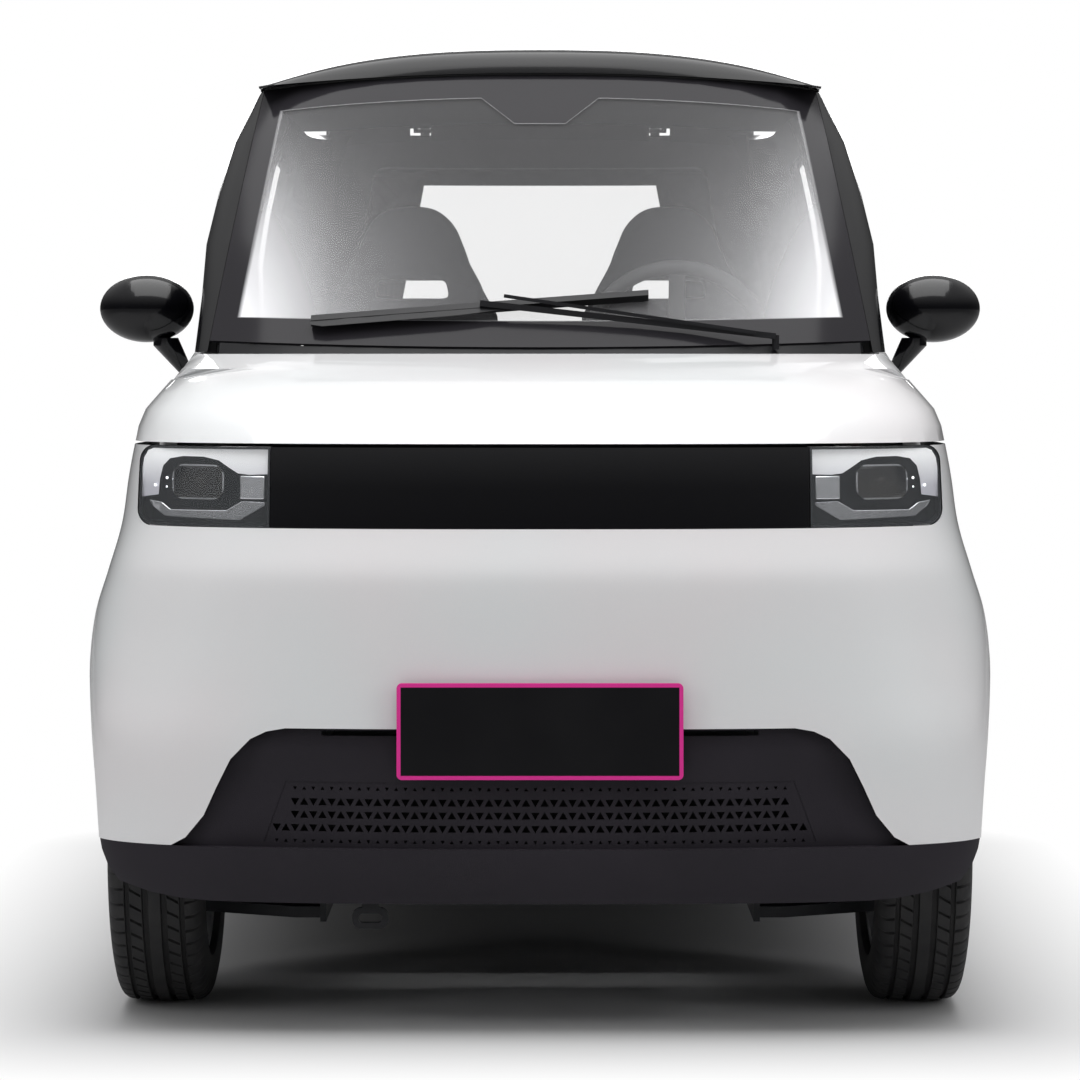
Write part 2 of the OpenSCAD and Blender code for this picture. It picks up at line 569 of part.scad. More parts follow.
// Doors
// The door as the side view shows it, moved in by g
module door_shape(g = 0) {
    top = door_top - g;
    shift = g * 0.45;
    polygon([[door_y0 + g, sill_z + 8 + g], [door_y0 + g, belt_z - 10], [door_y0 + g + 12, belt_z + 20],
        [door_y0 + door_rake + shift, top - 12], [door_y0 + door_rake + 26 + shift, top],
        [door_y1 - 36 - g, top], [door_y1 - 20 - g, top - 14], [door_y1 - g, belt_z],
        [door_y1 - g, sill_z + 8 + g]]);
}
module window_shape(g = 0) offset(g) offset(24) offset(-24) intersection() {
    door_shape(door_rim);
    translate([door_y0, belt_z + 24]) square([door_l, 600]);
}
// Rows of the door's height, with one just under the windows where its wall gets thinner
door_rows = concat([for (k = [0:6]) mix(sill_z, belt_z - 14, k / 6)], [belt_z + 4],
    [for (k = [1:5]) mix(belt_z + 4, eave_z, k / 5)]);
// A line just ahead of the door's front edge, upright to the belt and raked above it
function door_edge(z) = door_y0 - 2 + max(0, z - belt_z) * (door_rake - 12) / (eave_z - belt_z);
module door() {
    n = len(door_rows) - 1;
    outer = [for (z = door_rows) [for (i = [0:8]) skin(s_at_y(mix(door_edge(z), door_y1 + 2, i / 8), z), z)]];
    difference() {
        intersection() {
            between(outer, inset(outer, [for (z = door_rows) z > belt_z ? frame_t : door_t]));
            from_side(300, 800) door_shape();
        }
        from_side(300, 800) window_shape();
        for (z = hinge_zs) {
            box([600, hinge_x(z) + 10.5], [door_y0 - 10, hinge_y + 13], [z - 5, z + 17]);
            on_hinge(z - 2) cylinder(r = pin_r + fit, h = 40);
        }
    }
}
module door_left() color("#f2f1f4") door();
module door_right() color("#f2f1f4") mirror([1, 0, 0]) door();
module door_glass() intersection() {
    panel(function (u, v) let (z = mix(belt_z, eave_z, v))
        skin(s_at_y(mix(door_edge(z), door_y1, u), z), z), 6, 4, glass_t, 6);
    from_side(300, 800) window_shape(-seat_gap);
}
module door_glass_left() color("#4c5158", 0.6) door_glass();
module door_glass_right() color("#4c5158", 0.6) mirror([1, 0, 0]) door_glass();

// Mirrors: an egg-like housing cut flat behind, on a tapering stalk
mirror_at = [body_w / 2 - 48, door_y0 + 64, belt_z + 79];
module mirror_arm() {
    difference() {
        translate(mirror_at) rotate([0, 90, 0]) rotate_extrude() intersection() {
            offset(6) offset(-6) resize([120, 166]) circle(r = 60);
            translate([0, -100]) square([100, 200]);
        }
        box([500, 900], [mirror_at[1] + 28, mirror_at[1] + 200], [mirror_at[2] - 90, mirror_at[2] + 90]);
    }
    hull() {
        translate([mirror_at[0] - 34, mirror_at[1] - 6, mirror_at[2] - 66]) cylinder(r = 22, h = 14, $fn = 32);
        translate([half_side(1030) + 3.4, mirror_at[1] + 6, 1033.2]) cylinder(r = 10, h = 4, $fn = 32);
    }
}
module mirror_left() color("#111114") mirror_arm();
module mirror_right() color("#111114") mirror([1, 0, 0]) mirror_arm();

// Greenhouse
screen_low = 561;
screen_high = 500;
function screen_edge(z) = mix(screen_low, screen_high, (z - belt_z) / (eave_z - belt_z));
gate_low = 545;
gate_high = 440;
function gate_edge(z) = mix(gate_low, gate_high, (z - band_top_z) / (eave_z - band_top_z));
// One side of the black frame, from the windscreen's edge round to the tailgate's
function side_skin(u, z) = let (s0 = s_at_x(screen_edge(z) + seam, z),
    s1 = 3 - s_at_x(gate_edge(z) + shut_gap, z))
    skin(u < 0.25 ? mix(s0, 1, u * 4) : u < 0.75 ? mix(1, 2, (u - 0.25) * 2) : mix(2, s1, u * 4 - 3), z);
module quarter_shape(g = 0) offset(g) offset(22) offset(-22) polygon([[door_y1 + 70, belt_z + 26],
    [door_y1 + 60, door_top - 62], [door_y1 + 470, door_top - 72], [door_y1 + 520, belt_z + 30]]);
module cabin_frame() color("#0e0e11") both() difference() {
    panel(function (u, v) side_skin(u, mix(belt_z + seam, eave_z - 6, v)), 24, 5, frame_t);
    from_side(300, 800) offset(delta = shut_gap) door_shape();
    from_side(300, 800) quarter_shape();
    from_front(rear_y - 600, rear_y + 10) tailgate_shape(shut_gap);
    from_front(front_y, door_y1) polygon([for (m = [-1, 1]) each [for (z = [belt_z, eave_z])
        [m * (screen_edge(m > 0 ? z : belt_z + eave_z - z) + seam), m > 0 ? z : belt_z + eave_z - z]]]);
}
module quarter_windows() color("#4c5158", 0.6) both() intersection() {
    panel(function (u, v) side_skin(mix(0.4, 0.9, u), mix(belt_z + seam, eave_z - seam, v)),
        8, 4, glass_t, 6);
    from_side(300, 800) quarter_shape(-seat_gap);
}
crown_rows = [[0, 0], [0.12, 0.42], [0.27, 0.88], [0.42, 1], [0.6, 0.93], [0.8, 0.58], [1, 0]];
function roof_point(u, v) = let (a = 2 * u - 1, x = half_side(eave_z) * a, x1 = 0.985 * x,
    zc = header_z + (roof_h - header_z) * curve(crown_rows, v),
    edge = header_z - (header_z - eave_z) * pow(abs(a), 2))
    [x, mix(nose_at(x1, edge), tail_at(x1, edge), v), zc - (zc - eave_z) * pow(abs(a), 2.6)];
gate_hinge = [250, tail_y(header_z - 12) - 8, header_z - 12];
// The roof carries the tailgate's two hinge pins under its rear edge
module roof() color("#0e0e11") {
    panel(function (u, v) roof_point(u, v), 12, 12, panel_t);
    both() {
        along_x(pin_r, 50, gate_hinge);
        for (x = [-20, 20]) translate(gate_hinge + [x, -6, 3.5]) cube([10, 18, 9], center = true);
    }
}
function screen_point(u, v, inset = 0) = let (a = 2 * u - 1,
    z = mix(belt_z + 8 + 12 * a * a, header_z - seam - 1.8 - (header_z - eave_z) * a * a, v),
    x = a * (screen_edge(z) - inset))
    [x, nose_at(x, z), z];
module windscreen() color("#3a3f47", 0.6)
    panel(function (u, v) screen_point(u, v), 14, 5, glass_t);
module tailgate_shape(g = 0) offset(g) polygon([[-gate_low, band_top_z + lid_gap],
    [gate_low, band_top_z + lid_gap], [gate_edge(belt_z), belt_z], [gate_high, eave_z - 8],
    [300, header_z - 24], [-300, header_z - 24], [-gate_high, eave_z - 8], [-gate_edge(belt_z), belt_z]]);
module gate_window(g = 0) offset(g) offset(30) offset(-30) polygon([[-430, belt_z + 30],
    [430, belt_z + 30], [360, eave_z - 70], [-360, eave_z - 70]]);
function gate_grid() = grid(function (u, v) let (z = mix(band_top_z, header_z - 16, v),
    x = mix(gate_low + 8, -gate_low - 8, u) * min(1, 0.992 * half_side(z) / gate_low))
    [x, tail_at(x, z), z], 12, 7);
module tailgate() color("#0e0e11") difference() {
    g = gate_grid();
    union() {
        intersection() {
            between(g, inset(g, frame_t));
            from_front(rear_y - 600, rear_y + 10) tailgate_shape();
        }
        both() hull() {
            along_x(7, 20, gate_hinge);
            translate(gate_hinge + [0, 2, -18]) cube([20, 14, 4], center = true);
        }
    }
    from_front(rear_y - 600, rear_y + 10) gate_window();
    both() along_x(pin_r + fit, 30, gate_hinge);
}
module tailgate_window() color("#4c5158", 0.6) intersection() {
    g = gate_grid();
    between(inset(g, 5), inset(g, 5 + glass_t));
    from_front(rear_y - 600, rear_y + 10) gate_window(-seat_gap);
}
// The gutter between the bonnet and the windscreen: its front lip lies under the bonnet's edge
function cowl_point(u, v) = let (a = 2 * u - 1, x = a * 540, edge = belt_z - 3,
    zb = belt_z + 8 + 12 * a * a, low = edge - 15 - 4 * a * a)
    v < 0.5 ? [x, nose_at(x, edge - 10), low]
    : v < 1 ? [x, nose_at(x, edge) + 7, low + 2]
    : [x, nose_at(x, zb) + 1, zb - 4];
module cowl() color("#17171a") panel(function (u, v) cowl_point(u, v), 16, 2, panel_t);
// The single wiper: pivot, linked arms and a blade that lies along the glass
function on_screen(x, z, d) = [x, nose_at(x, z) - 0.75 * d, z + 0.66 * d];
module wiper() color("#151517") {
    at = 0.5 + 392 / 1080;
    foot = mix(cowl_point(at, 0.5), cowl_point(at, 1), 0.5) + [0, 0, 8.2];
    joint = on_screen(-100, belt_z + 66, 24);
    translate(foot) cylinder(r = 6, h = 24);
    bar(foot + [0, -6, 22], joint, 7, 10);
    bar(foot + [-34, -12, 28], joint + [40, -2, 12], 5, 6);
    g = grid(function (u, v) on_screen(mix(-383, 182, u), mix(belt_z + 41, belt_z + 84, u) + 9 * v, 18), 12, 1);
    between(g, [for (r = g) [for (p = r) p + [0, 11, -10]]]);
}

// Cabin
module dashboard() color("#2a2a2d") difference() {
    y0 = front_axle + 215;
    union() {
        from_side(-505, 505) offset(14) offset(-14) polygon([[y0, 905], [y0 - 70, 985],
            [y0 - 60, belt_z - 36], [y0 + 250, belt_z - 30], [y0 + 292, belt_z - 80], [y0 + 250, 860],
            [y0 + 60, 820]]);
        translate([seat_x - 10, y0 + 150, belt_z - 32]) from_front(-30, 60) pill(330, 150, 40);
    }
    box([-520, 520], [y0 - 200, y0 - 61], [800, belt_z]);
    translate(column_at) rotate([-90 + column_tilt, 0, 0]) translate([0, 0, -shaft_l - 4])
        cylinder(r = shaft_r + seat_gap, h = shaft_l);
}
column_at = [seat_x - 10, front_y + 1150, headrest_z - 318];
shaft_r = 16;
shaft_l = 205;
module steering_wheel() color("#202023") translate(column_at) rotate([-90 + column_tilt, 0, 0]) {
    rotate_extrude() translate([wheel_r - wheel_tube / 2, 0]) circle(r = wheel_tube / 2, $fn = 32);
    translate([0, 0, -24]) cylinder(r = 52, h = 34);
    for (a = [0, 180, 270]) rotate(a) translate([40, -15, -10]) cube([wheel_r - wheel_tube - 38, 30, 12]);
    translate([0, 0, -shaft_l]) cylinder(r = shaft_r, h = shaft_l - 20);
}
module seat() difference() {
    y = column_at[1];
    union() {
        hull() for (x = [-1, 1]) for (p = [[150, 480], [640, 464]])
            translate([x * (seat_w / 2 - 50), y + p[0], p[1]]) sphere(r = 50, $fn = 16);
        hull() for (x = [-1, 1]) for (p = [[610, 520], [700, 1150]])
            translate([x * (seat_w / 2 - 50), y + p[0], p[1]]) sphere(r = 45, $fn = 16);
        hull() for (x = [-1, 1]) for (p = [[705, 1190], [718, headrest_z - 36]])
            translate([x * 70, y + p[0], p[1]]) sphere(r = 36, $fn = 16);
        box([-150, 150], [y + 180, y + 600], [floor_z + 190.3, 430]);
    }
    from_front(y + 500, y + 900) translate([0, 1215]) pill(150, 40, 19);
}
module seat_left() color("#6c6d72") translate([seat_x, 0, 0]) seat();
module seat_right() color("#6c6d72") translate([-seat_x, 0, 0]) seat();

chassis();
battery_pack();
drive_unit();
front_suspension();
knuckle_left();
knuckle_right();
rear_axle();
rim_front_left();
rim_front_right();
rim_rear_left();
rim_rear_right();
tyre_front_left();
tyre_front_right();
tyre_rear_left();
tyre_rear_right();
wheel_liners();
front_body();
bonnet();
front_band();
headlamps();
headlamp_lenses();
front_bumper();
front_grille();
front_plate();
tow_loop();
sills();
door_left();
door_right();
door_glass_left();
door_glass_right();
mirror_left();
mirror_right();
rear_body();
rear_band();
tail_lamps();
rear_bumper();
cabin_frame();
roof();
windscreen();
quarter_windows();
tailgate();
tailgate_window();
cowl();
wiper();
dashboard();
steering_wheel();
seat_left();
seat_right();
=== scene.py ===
import bpy
import bmesh
import math
from mathutils import Matrix, Vector


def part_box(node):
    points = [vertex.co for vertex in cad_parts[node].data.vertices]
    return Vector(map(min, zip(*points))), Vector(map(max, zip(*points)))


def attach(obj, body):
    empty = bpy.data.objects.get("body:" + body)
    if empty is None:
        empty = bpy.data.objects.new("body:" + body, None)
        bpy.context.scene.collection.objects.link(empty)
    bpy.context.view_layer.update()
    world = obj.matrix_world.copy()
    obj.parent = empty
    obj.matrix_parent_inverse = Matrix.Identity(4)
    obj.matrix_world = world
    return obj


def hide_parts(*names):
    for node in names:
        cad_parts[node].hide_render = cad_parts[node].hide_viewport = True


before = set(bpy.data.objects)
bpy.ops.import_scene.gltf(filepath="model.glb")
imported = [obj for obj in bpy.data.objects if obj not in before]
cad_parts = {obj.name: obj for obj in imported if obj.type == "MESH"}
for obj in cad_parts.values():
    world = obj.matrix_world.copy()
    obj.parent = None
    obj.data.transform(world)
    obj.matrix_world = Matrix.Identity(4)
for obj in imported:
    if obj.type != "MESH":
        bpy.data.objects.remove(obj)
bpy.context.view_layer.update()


# CAMERA. A level long lens straight ahead of the nose, 6 m from the front bumper and at
# the height of the bonnet's top. The horizon lies above the middle, so the lens is shifted.
lens_data = bpy.data.cameras.new("front_camera")
front_camera = bpy.data.objects.new("front_camera", lens_data)
bpy.context.scene.collection.objects.link(front_camera)
camera_back, camera_height = -7.35, 1.05
focal_pixels, horizon_row, frame_pixels = 3887, 367.7, 1080
front_camera.location = (0, camera_back, camera_height)
front_camera.rotation_euler = (math.radians(90), 0, 0)
lens_data.sensor_width = 36
lens_data.lens = focal_pixels / frame_pixels * 36
lens_data.shift_y = (horizon_row - frame_pixels / 2) / frame_pixels
lens_data.clip_end = 200
bpy.context.scene.camera = front_camera


# STAGE. A white floor that fades into a white surround far from the car, so only the soft
# shadow under the car shows. One broad lamp overhead, two tall ones at the sides, one behind.
class Strand:
    """A number on its way through a material: sums on it add Math nodes."""

    def __init__(self, mix, socket):
        self.mix, self.socket = mix, socket

    def sum(self, operation, *values, clamp=False):
        settings = {"operation": operation, "use_clamp": clamp}
        return self.mix.node("ShaderNodeMath", settings, {i: v for i, v in enumerate(values)})

    def __add__(self, other): return self.sum("ADD", self, other)
    def __radd__(self, other): return self.sum("ADD", other, self)
    def __sub__(self, other): return self.sum("SUBTRACT", self, other)
    def __rsub__(self, other): return self.sum("SUBTRACT", other, self)
    def __mul__(self, other): return self.sum("MULTIPLY", self, other)
    def __rmul__(self, other): return self.sum("MULTIPLY", other, self)
    def __truediv__(self, other): return self.sum("DIVIDE", self, other)
    def __rtruediv__(self, other): return self.sum("DIVIDE", other, self)
    def __pow__(self, other): return self.sum("POWER", self, other)
    def __abs__(self): return self.sum("ABSOLUTE", self)
    def __and__(self, other): return self.sum("MINIMUM", self, other)
    def __or__(self, other): return self.sum("MAXIMUM", self, other)
    def sine(self): return self.sum("SINE", self)
    def wrap(self, step): return self.sum("WRAP", self, step, 0.0)

    def over(self, edge, soft=0.001):
        """0 below the edge, 1 above it, with a soft line between."""
        return self.sum("ADD", (self - edge) / soft, 0.5, clamp=True)


class Finish:
    """One material: its nodes, its places on the piece and its shader."""

    def __init__(self, name, colour=(0.5, 0.5, 0.5), roughness=0.5, **constants):
        self.material = bpy.data.materials.new(name)
        self.material.use_nodes = True
        self.tree = self.material.node_tree
        self.shader = self.tree.nodes["Principled BSDF"]
        self.places = None
        self.give(Base_Color=colour, Roughness=roughness, **constants)

    def node(self, kind, settings=None, values=None, output=0):
        made = self.tree.nodes.new(kind)
        for key, setting in (settings or {}).items():
            setattr(made, key, setting)
        for key, value in (values or {}).items():
            if isinstance(value, Strand):
                self.tree.links.new(value.socket, made.inputs[key])
            else:
                made.inputs[key].default_value = value
        return Strand(self, made.outputs[output])

    def place(self):
        """x, y and z of the point on its piece."""
        if self.places is None:
            point = self.node("ShaderNodeTexCoord", output="Object")
            split = self.node("ShaderNodeSeparateXYZ", values={0: point}).socket.node
            self.places = [point] + [Strand(self, split.outputs[i]) for i in range(3)]
        return self.places[1:]

    def point(self, stretch=(1, 1, 1)):
        """The place on the piece, stretched along its axes."""
        self.place()
        return self.node("ShaderNodeVectorMath", {"operation": "MULTIPLY"},
                         {0: self.places[0], 1: stretch})

    def noise(self, scale, detail=2, stretch=(1, 1, 1), roughness=0.5):
        return self.node("ShaderNodeTexNoise", values={"Vector": self.point(stretch), "Scale": scale,
                         "Detail": detail, "Roughness": roughness})

    def cells(self, scale, stretch=(1, 1, 1)):
        return self.node("ShaderNodeTexVoronoi", values={"Vector": self.point(stretch), "Scale": scale})

    def blend(self, mask, low, high):
        """A colour between two, by a mask."""
        colour = [v if isinstance(v, Strand) else (*v, 1) for v in (low, high)]
        return self.node("ShaderNodeMix", {"data_type": "RGBA"},
                         {0: mask, 6: colour[0], 7: colour[1]}, output=2)

    def bump(self, height, depth, strength=1.0):
        self.give(Normal=self.node("ShaderNodeBump", values={"Height": height, "Distance": depth,
                                   "Strength": strength}))

    def give(self, **sockets):
        for key, value in sockets.items():
            socket = self.shader.inputs[key.replace("_", " ")]
            if isinstance(value, Strand):
                self.tree.links.new(value.socket, socket)
            elif isinstance(value, tuple) and len(value) == 3 and key.endswith("Color"):
                socket.default_value = (*value, 1)
            elif isinstance(value, tuple) and key.endswith("Tint"):
                socket.default_value = (*value, 1)
            else:
                socket.default_value = value
        return self


bpy.ops.object.select_all(action="DESELECT")
bpy.ops.mesh.primitive_plane_add(size=60, location=(0, 0, -0.0005))
floor = bpy.context.object
floor.name = "floor"
studio_floor = Finish("studio_floor", (0.50, 0.50, 0.505), 0.8, Specular_IOR_Level=0.1)
out = studio_floor.tree.nodes["Material Output"]
x, y, z = studio_floor.place()
shadow_half_width, shadow_half_length = 0.66, 1.16
beside = (abs(x) - shadow_half_width) | 0.0
ahead = (abs(y) - shadow_half_length) | 0.0
far = ((beside * beside + ahead * ahead) ** 0.5).over(0.24, 0.46)
white = studio_floor.node("ShaderNodeEmission", values={"Color": (1, 1, 1, 1), "Strength": 1.0})
path = studio_floor.node("ShaderNodeLightPath").socket.node
seen = Strand(studio_floor, path.outputs["Is Camera Ray"]) \
    | Strand(studio_floor, path.outputs["Is Transmission Ray"])
half_lit = studio_floor.node("ShaderNodeMixShader", values={0: far * seen,
                             1: Strand(studio_floor, studio_floor.shader.outputs[0]), 2: white})
studio_floor.tree.links.new(half_lit.socket, out.inputs["Surface"])
floor.data.materials.append(studio_floor.material)

surround = bpy.data.worlds.new("surround")
bpy.context.scene.world = surround
surround.use_nodes = True
sky = surround.node_tree
sky_path = sky.nodes.new("ShaderNodeLightPath")
sky_seen = sky.nodes.new("ShaderNodeMath")
sky_seen.operation = "MAXIMUM"
sky.links.new(sky_path.outputs["Is Camera Ray"], sky_seen.inputs[0])
sky.links.new(sky_path.outputs["Is Transmission Ray"], sky_seen.inputs[1])
sky_point = sky.nodes.new("ShaderNodeTexCoord")
sky_split = sky.nodes.new("ShaderNodeSeparateXYZ")
sky.links.new(sky_point.outputs["Generated"], sky_split.inputs[0])
sky_height = sky.nodes.new("ShaderNodeMapRange")
sky_height.interpolation_type = "SMOOTHSTEP"
sky.links.new(sky_split.outputs[2], sky_height.inputs["Value"])
for stop, level in zip(("From Min", "From Max", "To Min", "To Max"), (0.05, 0.85, 0.05, 0.62)):
    sky_height.inputs[stop].default_value = level
sky_level = sky.nodes.new("ShaderNodeMath")
sky_level.operation = "MAXIMUM"
sky.links.new(sky_seen.outputs[0], sky_level.inputs[0])
sky.links.new(sky_height.outputs[0], sky_level.inputs[1])
sky.links.new(sky_level.outputs[0], sky.nodes["Background"].inputs["Strength"])
sky.nodes["Background"].inputs["Color"].default_value = (1, 1, 1, 1)

for lamp_name, where, turn, size, power in (
        ("overhead_lamp", (0, -0.9, 4.2), (8, 0, 0), (4.2, 5.0), 131),
        ("left_lamp", (4.6, -3.6, 2.2), (74, 0, 52), (1.4, 3.4), 42),
        ("right_lamp", (-4.6, -3.6, 2.2), (74, 0, -52), (1.4, 3.4), 42),
        ("rear_lamp", (0, 5.2, 2.8), (-62, 0, 0), (4.0, 2.0), 70)):
    lamp_data = bpy.data.lights.new(lamp_name, "AREA")
    lamp_data.shape = "RECTANGLE"
    lamp_data.size, lamp_data.size_y = size
    lamp_data.energy = power
    lamp_data.spread = math.radians(150)
    lamp = bpy.data.objects.new(lamp_name, lamp_data)
    bpy.context.scene.collection.objects.link(lamp)
    lamp.location = where
    lamp.rotation_euler = [math.radians(a) for a in turn]
    lamp.visible_glossy = lamp_name in ("overhead_lamp", "rear_lamp")
bpy.context.scene.view_settings.view_transform = "Standard"


# WHITE PANELS. Pressed and moulded skins in pearl white under clear lacquer: the nose with
# both wings, the bonnet, the doors and the rear quarters. Fine flakes tint them slightly.
def dress(node, finish, crease=32):
    """Gives a CAD node its finish, welds its loose triangles and smooths its curved faces."""
    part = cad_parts[node]
    part.data.materials.clear()
    part.data.materials.append(finish.material)
    if crease:
        weld = part.modifiers.new("weld", "WELD")
        weld.merge_threshold = 0.00002
        split = part.modifiers.new("crease", "EDGE_SPLIT")
        split.split_angle = math.radians(crease)
        for face in part.data.polygons:
            face.use_smooth = True
    return part


def pearl(name):
    """Pearl white lacquer with a faint pink, green and blue shimmer."""
    paint = Finish(name, roughness=0.32, Coat_Weight=1.0, Coat_Roughness=0.03, Specular_IOR_Level=0.5)
    cloud = paint.noise(3.2, 1)
    flake = paint.noise(900, 1)
    tint = paint.blend((cloud.over(0.5, 0.3)), (0.745, 0.731, 0.745), (0.727, 0.745, 0.757))
    paint.give(Base_Color=paint.blend(flake.over(0.56, 0.2) * 0.35, tint, (0.80, 0.77, 0.745)))
    paint.bump(paint.noise(260, 2), 0.00004, 0.15)
    return paint


pearl_white = pearl("pearl_white")
for panel in ("front_body", "bonnet", "rear_body"):
    dress(panel, pearl_white)


# BLACK GREENHOUSE AND BANDS. Piano-black mouldings and painted roof: pillars, roof,
# tailgate, mirrors and the bands that carry the lamps.
gloss_black = Finish("gloss_black", roughness=0.16, Specular_IOR_Level=0.3, Coat_Weight=0.35,
                     Coat_Roughness=0.02)
gloss_black.give(Base_Color=gloss_black.blend(gloss_black.noise(700, 1).over(0.6, 0.2) * 0.3,
                                              (0.002, 0.002, 0.003), (0.007, 0.007, 0.008)))
gloss_black.bump(gloss_black.noise(180, 2), 0.00003, 0.1)
for panel in ("cabin_frame", "roof", "tailgate", "mirror_left", "mirror_right", "rear_band", "front_band"):
    dress(panel, gloss_black)


# DARK BUMPERS. Through-coloured polypropylene with a fine moulded grain, so scratches
# don't show: both bumpers, the insert, the grille and the sills.
def moulded(name, colour, grain=900, depth=0.00025, roughness=0.55):
    """Matt moulded plastic with a fine leather-like grain."""
    plastic = Finish(name, roughness=roughness, Specular_IOR_Level=0.22)
    pebble = plastic.cells(grain)
    shade = plastic.noise(7, 3)
    dark = tuple(c * 0.8 for c in colour)
    plastic.give(Base_Color=plastic.blend(shade.over(0.5, 0.5), dark, colour),
                 Roughness=roughness - 0.08 + 0.16 * shade)
    plastic.bump(pebble, depth, 0.6)
    return plastic


bumper_grain = moulded("bumper_grain", (0.024, 0.021, 0.027), roughness=0.6)
for panel in ("front_bumper", "rear_bumper", "sills"):
    dress(panel, bumper_grain)
satin_black = moulded("satin_black", (0.018, 0.018, 0.020), 1200, 0.0001, 0.42)
for panel in ("cowl", "wiper", "tow_loop", "wheel_liners"):
    dress(panel, satin_black)


# CARRYING STRUCTURE. Folded and welded sheet steel under black electro-coat, with the
# battery's sealed aluminium case and the cast motor housing bolted to it.
coated_steel = moulded("coated_steel", (0.030, 0.031, 0.034), 300, 0.00012, 0.5)
for part in ("chassis", "front_suspension", "rear_axle"):
    dress(part, coated_steel)
cast_metal = Finish("cast_metal", roughness=0.5, Metallic=1.0)
cast_metal.give(Base_Color=cast_metal.blend(cast_metal.noise(30, 3).over(0.5, 0.4),
                                            (0.34, 0.35, 0.36), (0.46, 0.47, 0.48)))
cast_metal.bump(cast_metal.noise(420, 3), 0.0002, 0.6)
for part in ("drive_unit", "battery_pack", "knuckle_left", "knuckle_right"):
    dress(part, cast_metal)


# DOORS. Painted skin below the belt, black frame round the glass, and a moulded trim card
# inside, as the faces that look towards the middle of the car.
door_paint = pearl("door_paint")
x, y, z = door_paint.place()
belt_height = 1.0768
above = z.over(belt_height, 0.0006)
skin_colour = Strand(door_paint, door_paint.shader.inputs["Base Color"].links[0].from_socket)
door_paint.give(Base_Color=door_paint.blend(above, skin_colour, (0.008, 0.008, 0.010)),
                Roughness=0.30 - 0.14 * above)
trim_card = moulded("trim_card", (0.045, 0.046, 0.050), 700, 0.0003, 0.6)
sides = ((1, "left"), (-1, "right"))
for side, tag in sides:
    part = dress("door_" + tag, door_paint)
    part.data.materials.append(trim_card.material)
    for face in part.data.polygons:
        if face.normal.x * side < -0.2:
            face.material_index = 1


# GLASS. Laminated screen with a printed dark border and a painted reflection, pale and growing towards its
# sides and lower corners, and tempered, darker side and rear glass, the rear pane with a black border of its own.
screen_glass = Finish("screen_glass", (0.80, 0.80, 0.82), 0.02, Specular_IOR_Level=0.15, IOR=1.45)
x, y, z = screen_glass.place()
screen_foot, screen_head = 1.08, 1.578
up = (z - screen_foot) / (screen_head - screen_foot)
side_edge = abs(x) - (0.561 - 0.061 * up)
clear_top = 1.532 - 0.10 * x * x - 0.050 * (1 - abs(x).over(0.075, 0.06))
clear_foot = 1.128 + 0.03 * x * x
border = side_edge.over(-0.045, 0.008) | z.over(clear_top, 0.002) | (1 - z.over(clear_foot, 0.002))
low = (1 - up) | 0.0
sideways = x * x
beyond = (sideways - 0.124) | 0.0
# Painted reflection: a pale grey layer, faint in the middle and more opaque towards the sides and lower corners,
# stands in for the bright surround reflected in the screen.
painted_reflection = 0.041 + 0.012 * low + sideways * (0.06 + (0.6 + 9.0 * sideways + 17.0 * beyond) * low * low)
screen_glass.give(Base_Color=screen_glass.blend(border, (0.80, 0.80, 0.82), (0.020, 0.019, 0.022)),
                  Alpha=border | painted_reflection, Roughness=0.02 + 0.12 * border)
dress("windscreen", screen_glass)
side_glass = Finish("side_glass", (0.020, 0.021, 0.024), 0.05, Specular_IOR_Level=0.2, IOR=1.45)
tone = side_glass.noise(2.0, 1)
side_glass.give(Alpha=0.10 + 0.04 * tone)
for pane in ("door_glass_left", "door_glass_right", "quarter_windows"):
    dress(pane, side_glass)
rear_glass = Finish("rear_glass", (0.020, 0.021, 0.024), 0.05, Specular_IOR_Level=0.2, IOR=1.45)
x, y, z = rear_glass.place()
pane_top, pane_half_width = 1.449, 0.254
border = (abs(x) - 0.2 * (pane_top - z)).over(pane_half_width, 0.002) | z.over(pane_top, 0.002)
rear_glass.give(Base_Color=rear_glass.blend(border, (0.020, 0.021, 0.024), (0.003, 0.003, 0.004)),
                Alpha=border | (0.08 + 0.04 * rear_glass.noise(2.0, 1)))
dress("tailgate_window", rear_glass)


# LAMPS. A dark tray with a round-cornered projector, a square marker and a bent light bar,
# behind a clear polycarbonate lens that follows the nose. Red moulded lamps at the tail.
lamp_tray = moulded("lamp_tray", (0.006, 0.006, 0.008), 500, 0.00006, 0.3)
dress("headlamps", lamp_tray)
clear_lens = Finish("clear_lens", (0.72, 0.76, 0.80), 0.03, IOR=1.35, Specular_IOR_Level=0.3)
clear_lens.give(Alpha=0.025 + 0.02 * clear_lens.noise(5, 1))
dress("headlamp_lenses", clear_lens)
red_lens = Finish("red_lens", (0.35, 0.006, 0.010), 0.06, Coat_Weight=1.0, Coat_Roughness=0.02)
x, y, z = red_lens.place()
ribs = abs(z.wrap(0.010) - 0.005) / 0.005
red_lens.give(Base_Color=red_lens.blend(ribs, (0.16, 0.003, 0.006), (0.42, 0.012, 0.016)))
red_lens.bump(ribs, 0.0006, 0.5)
dress("tail_lamps", red_lens)


# FRONT PLATE. A blank black board with a thin magenta border, held by two brackets.
board = Finish("blank_board", roughness=0.5, Specular_IOR_Level=0.15)
x, y, z = board.place()
plate_height, plate_half_width, plate_half_height, rim = 0.488, 0.2215, 0.0745, 0.0062
edge = abs(x).over(plate_half_width - rim, 0.0006) | abs(z - plate_height).over(plate_half_height - rim, 0.0006)
shade = board.noise(9, 2)
board.give(Base_Color=board.blend(edge, board.blend(shade, (0.004, 0.004, 0.005), (0.009, 0.009, 0.010)),
                                  (0.74, 0.040, 0.30)), Roughness=0.30 + 0.1 * shade)
dress("front_plate", board)


